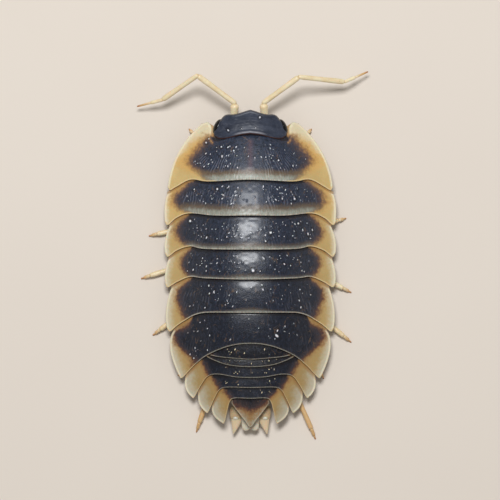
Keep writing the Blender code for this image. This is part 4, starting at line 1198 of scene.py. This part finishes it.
def head_material():
    """Slate head with a painted highlight along its rolled collar and a red-brown line along its rear margin."""
    p = Paint("head", Coat_Weight=0.15, Coat_Roughness=0.3, Specular_IOR_Level=0.35)
    rear, rim, collar, grain = (p.mark(n) for n in ("rear", "rim", "collar", "grain"))
    blotch, fine = p.noise(1.3, 4.0, (0.6, 1.4, 1)), p.noise(6.0, 4.0, (0.7, 1.5, 1))
    colour = p.mix(p.step(blotch, 0.35, 0.7), srgb(36, 42, 56), srgb(54, 60, 75))
    colour = p.mix(p.math("MULTIPLY", p.step(fine, 0.52, 0.75), 0.5), colour, srgb(86, 88, 98))
    # Painted highlight along the crest of the rolled collar
    colour = p.mix(p.math("MULTIPLY", p.step(collar, 0.35, 0.95), 0.8), colour, srgb(116, 116, 124))
    colour = p.mix(p.step(rear, 0.10, 0.05), colour, srgb(70, 42, 36))
    colour = p.mix(p.math("MULTIPLY", p.step(rim, 0.14, 0.04), 0.7), colour, srgb(92, 88, 88))
    # Painted dark ring of shade and painted glint on each large grain
    colour = p.mix(p.step(grain, -0.03, -0.22), colour, srgb(20, 21, 28))
    colour = p.mix(p.step(grain, 0.1, 0.6), colour, srgb(200, 200, 206))
    normal = p.bump(p.cells(6.0, (0.8, 1.4, 1.0)), 0.004)
    normal = p.bump(p.noise(18.0, 2.0), 0.005, normal)
    return p.finish(colour, p.between(fine, 0.2, 0.8, 0.32, 0.48), normal)


def limb_material():
    """Waxy cream limbs, browner at the joints, with orange-brown claws."""
    p = Paint("limb", Coat_Weight=0.2, Coat_Roughness=0.3, Subsurface_Weight=0.1, Subsurface_Scale=0.0003)
    joint, tip = p.mark("joint"), p.mark("tip")
    blotch, fine = p.noise(1.6, 3.0), p.noise(9.0, 3.0)
    colour = p.mix(p.step(blotch, 0.3, 0.7), srgb(226, 204, 160), srgb(236, 220, 184))
    colour = p.mix(p.step(fine, 0.62, 0.74), colour, srgb(206, 178, 130))
    colour = p.mix(p.math("MULTIPLY", p.step(joint, 0.25, 1.0), 0.7), colour, srgb(196, 152, 98))
    colour = p.mix(p.step(tip, 0.0, 0.6), colour, srgb(206, 166, 112))
    colour = p.mix(p.step(tip, 0.6, 1.0), colour, srgb(170, 106, 60))
    colour = p.mix(p.step(tip, -0.2, -0.8), colour, srgb(222, 204, 172))
    normal = p.bump(p.noise(12.0, 3.0, (1, 1, 1)), 0.012)
    return p.finish(colour, p.between(fine, 0.2, 0.8, 0.36, 0.52), normal)


def tail_material():
    """Tan horn of the tail appendages, paling to glassy tips."""
    p = Paint("tail", Coat_Weight=0.35, Coat_Roughness=0.2, Subsurface_Weight=0.2, Subsurface_Scale=0.0003)
    tip = p.mark("tip")
    blotch, fine = p.noise(2.2, 3.0), p.noise(10.0, 3.0, (2, 0.6, 1))
    colour = p.mix(p.step(blotch, 0.3, 0.7), srgb(178, 150, 114), srgb(198, 172, 134))
    colour = p.mix(p.math("MULTIPLY", p.step(fine, 0.6, 0.75), 0.6), colour, srgb(160, 132, 92))
    colour = p.mix(p.step(tip, 0.2, 0.6), colour, srgb(218, 195, 160))
    colour = p.mix(p.step(tip, 0.7, 0.9), colour, srgb(206, 196, 174))
    # Near-white on the joint knob: a painted highlight
    colour = p.mix(p.step(tip, 1.1, 1.3), colour, srgb(216, 208, 190))
    normal = p.bump(p.noise(11.0, 3.0, (2, 0.6, 1)), 0.012)
    return p.finish(colour, p.between(fine, 0.2, 0.8, 0.28, 0.44), normal)


def eye_material():
    """Near-black glossy facets with dull seams between them."""
    p = Paint("eye", Coat_Weight=0.25, Coat_Roughness=0.12, Specular_IOR_Level=0.25)
    seam, fine = p.mark("seam"), p.noise(9.0, 2.0)
    colour = p.mix(p.step(seam, 0.5, 1.0), srgb(6, 6, 8), srgb(18, 16, 18))
    colour = p.mix(p.step(fine, 0.5, 0.8), colour, srgb(14, 12, 14))
    return p.finish(colour, p.between(seam, 0.0, 1.0, 0.16, 0.45), p.bump(fine, 0.004))


def underside_material():
    """Pale skin of the underside, with darker folds."""
    p = Paint("underside", Subsurface_Weight=0.2, Subsurface_Scale=0.0004)
    fold, side = p.mark("fold"), p.mark("side")
    blotch, fine = p.noise(1.2, 4.0), p.noise(7.0, 4.0)
    colour = p.mix(p.step(blotch, 0.3, 0.7), srgb(206, 190, 152), srgb(222, 208, 174))
    colour = p.mix(p.step(fine, 0.58, 0.75), colour, srgb(186, 164, 124))
    colour = p.mix(p.math("MULTIPLY", p.step(fold, 0.82, 1.0), 0.6), colour, srgb(150, 120, 84))
    colour = p.mix(p.math("MULTIPLY", p.step(side, 2.6, 4.0), 0.5), colour, srgb(170, 146, 106))
    normal = p.bump(p.noise(8.0, 4.0, (0.6, 1.6, 1)), 0.02)
    return p.finish(colour, p.between(fine, 0.2, 0.8, 0.45, 0.62), normal)


def floor_material():
    p = Paint("floor", Roughness=0.85, Specular_IOR_Level=0.2)
    shade = p.noise(0.05, 2.0)
    colour = p.mix(shade, srgb(219, 208, 196), srgb(223, 213, 201))
    p.put(p.shader.inputs["Base Color"], colour)
    return p.material


# The view straight down, and the soft light, in metres
CAMERA_HEIGHT = 0.50
SENSOR = 36.0
FRAME_WIDTH = 0.03785
FRAME_CENTRE = (-0.000023, 0.000492)
FLOOR_HALF = 2.0
MEAN_HEIGHT = 0.003
KEY_POWER = 0.48
KEY_SIZE = (0.07, 0.05)
KEY_DISTANCE = 0.24
KEY_TILT = 20
FILL_POWER = 0.12
FILL_SIZE = 0.35
FILL_DISTANCE = 0.5
WORLD_LIGHT = 0.33


def make_camera():
    data = bpy.data.cameras.new("camera")
    data.sensor_width = SENSOR
    data.lens = SENSOR * (CAMERA_HEIGHT - MEAN_HEIGHT) / FRAME_WIDTH
    data.clip_start, data.clip_end = 0.01, 20
    camera = bpy.data.objects.new("camera", data)
    camera.location = (*FRAME_CENTRE, CAMERA_HEIGHT)
    bpy.context.scene.collection.objects.link(camera)
    bpy.context.scene.camera = camera


def make_light(name, power, size, distance, tilt, turn, colour):
    """A soft panel at a distance from the middle, tilted from straight above towards a side."""
    data = bpy.data.lights.new(name, "AREA")
    data.shape = "RECTANGLE"
    data.size, data.size_y = size
    data.energy = power
    data.color = colour
    lamp = bpy.data.objects.new(name, data)
    lean, around = math.radians(tilt), math.radians(turn)
    lamp.location = (distance * math.sin(lean) * math.sin(around), distance * math.sin(lean) * math.cos(around),
                     distance * math.cos(lean))
    lamp.rotation_mode = "QUATERNION"
    lamp.rotation_quaternion = lamp.location.to_track_quat("Z", "Y")
    bpy.context.scene.collection.objects.link(lamp)


def make_setting():
    """Plain pale floor, a soft panel above and ahead, a weak wide one behind and a pale surround."""
    corners = [(-FLOOR_HALF, -FLOOR_HALF, 0), (FLOOR_HALF, -FLOOR_HALF, 0), (FLOOR_HALF, FLOOR_HALF, 0),
               (-FLOOR_HALF, FLOOR_HALF, 0)]
    mesh = bpy.data.meshes.new("floor")
    mesh.from_pydata(corners, [], [(0, 1, 2, 3)])
    mesh.materials.append(floor_material())
    floor = bpy.data.objects.new("floor", mesh)
    bpy.context.scene.collection.objects.link(floor)
    make_light("key", KEY_POWER, KEY_SIZE, KEY_DISTANCE, KEY_TILT, -8, (0.955, 0.975, 1.0))
    make_light("fill", FILL_POWER, (FILL_SIZE, FILL_SIZE), FILL_DISTANCE, 55, 160, (0.95, 0.97, 1.0))
    world = bpy.data.worlds.new("surround")
    world.use_nodes = True
    backdrop = world.node_tree.nodes["Background"]
    backdrop.inputs["Color"].default_value = srgb(236, 234, 230)
    backdrop.inputs["Strength"].default_value = WORLD_LIGHT
    bpy.context.scene.world = world
    bpy.context.scene.view_settings.view_transform = "Standard"


def main():
    make_camera()
    make_setting()
    shell, head, limb = shell_material(), head_material(), limb_material()
    tail, eye, underside = tail_material(), eye_material(), underside_material()
    make_shells(shell)
    make_telson(shell)
    make_head(head)
    make_eyes(eye)
    make_antennae(limb)
    make_legs(limb)
    make_uropods(tail)
    make_sternites(underside)
    make_ring(underside)


main()
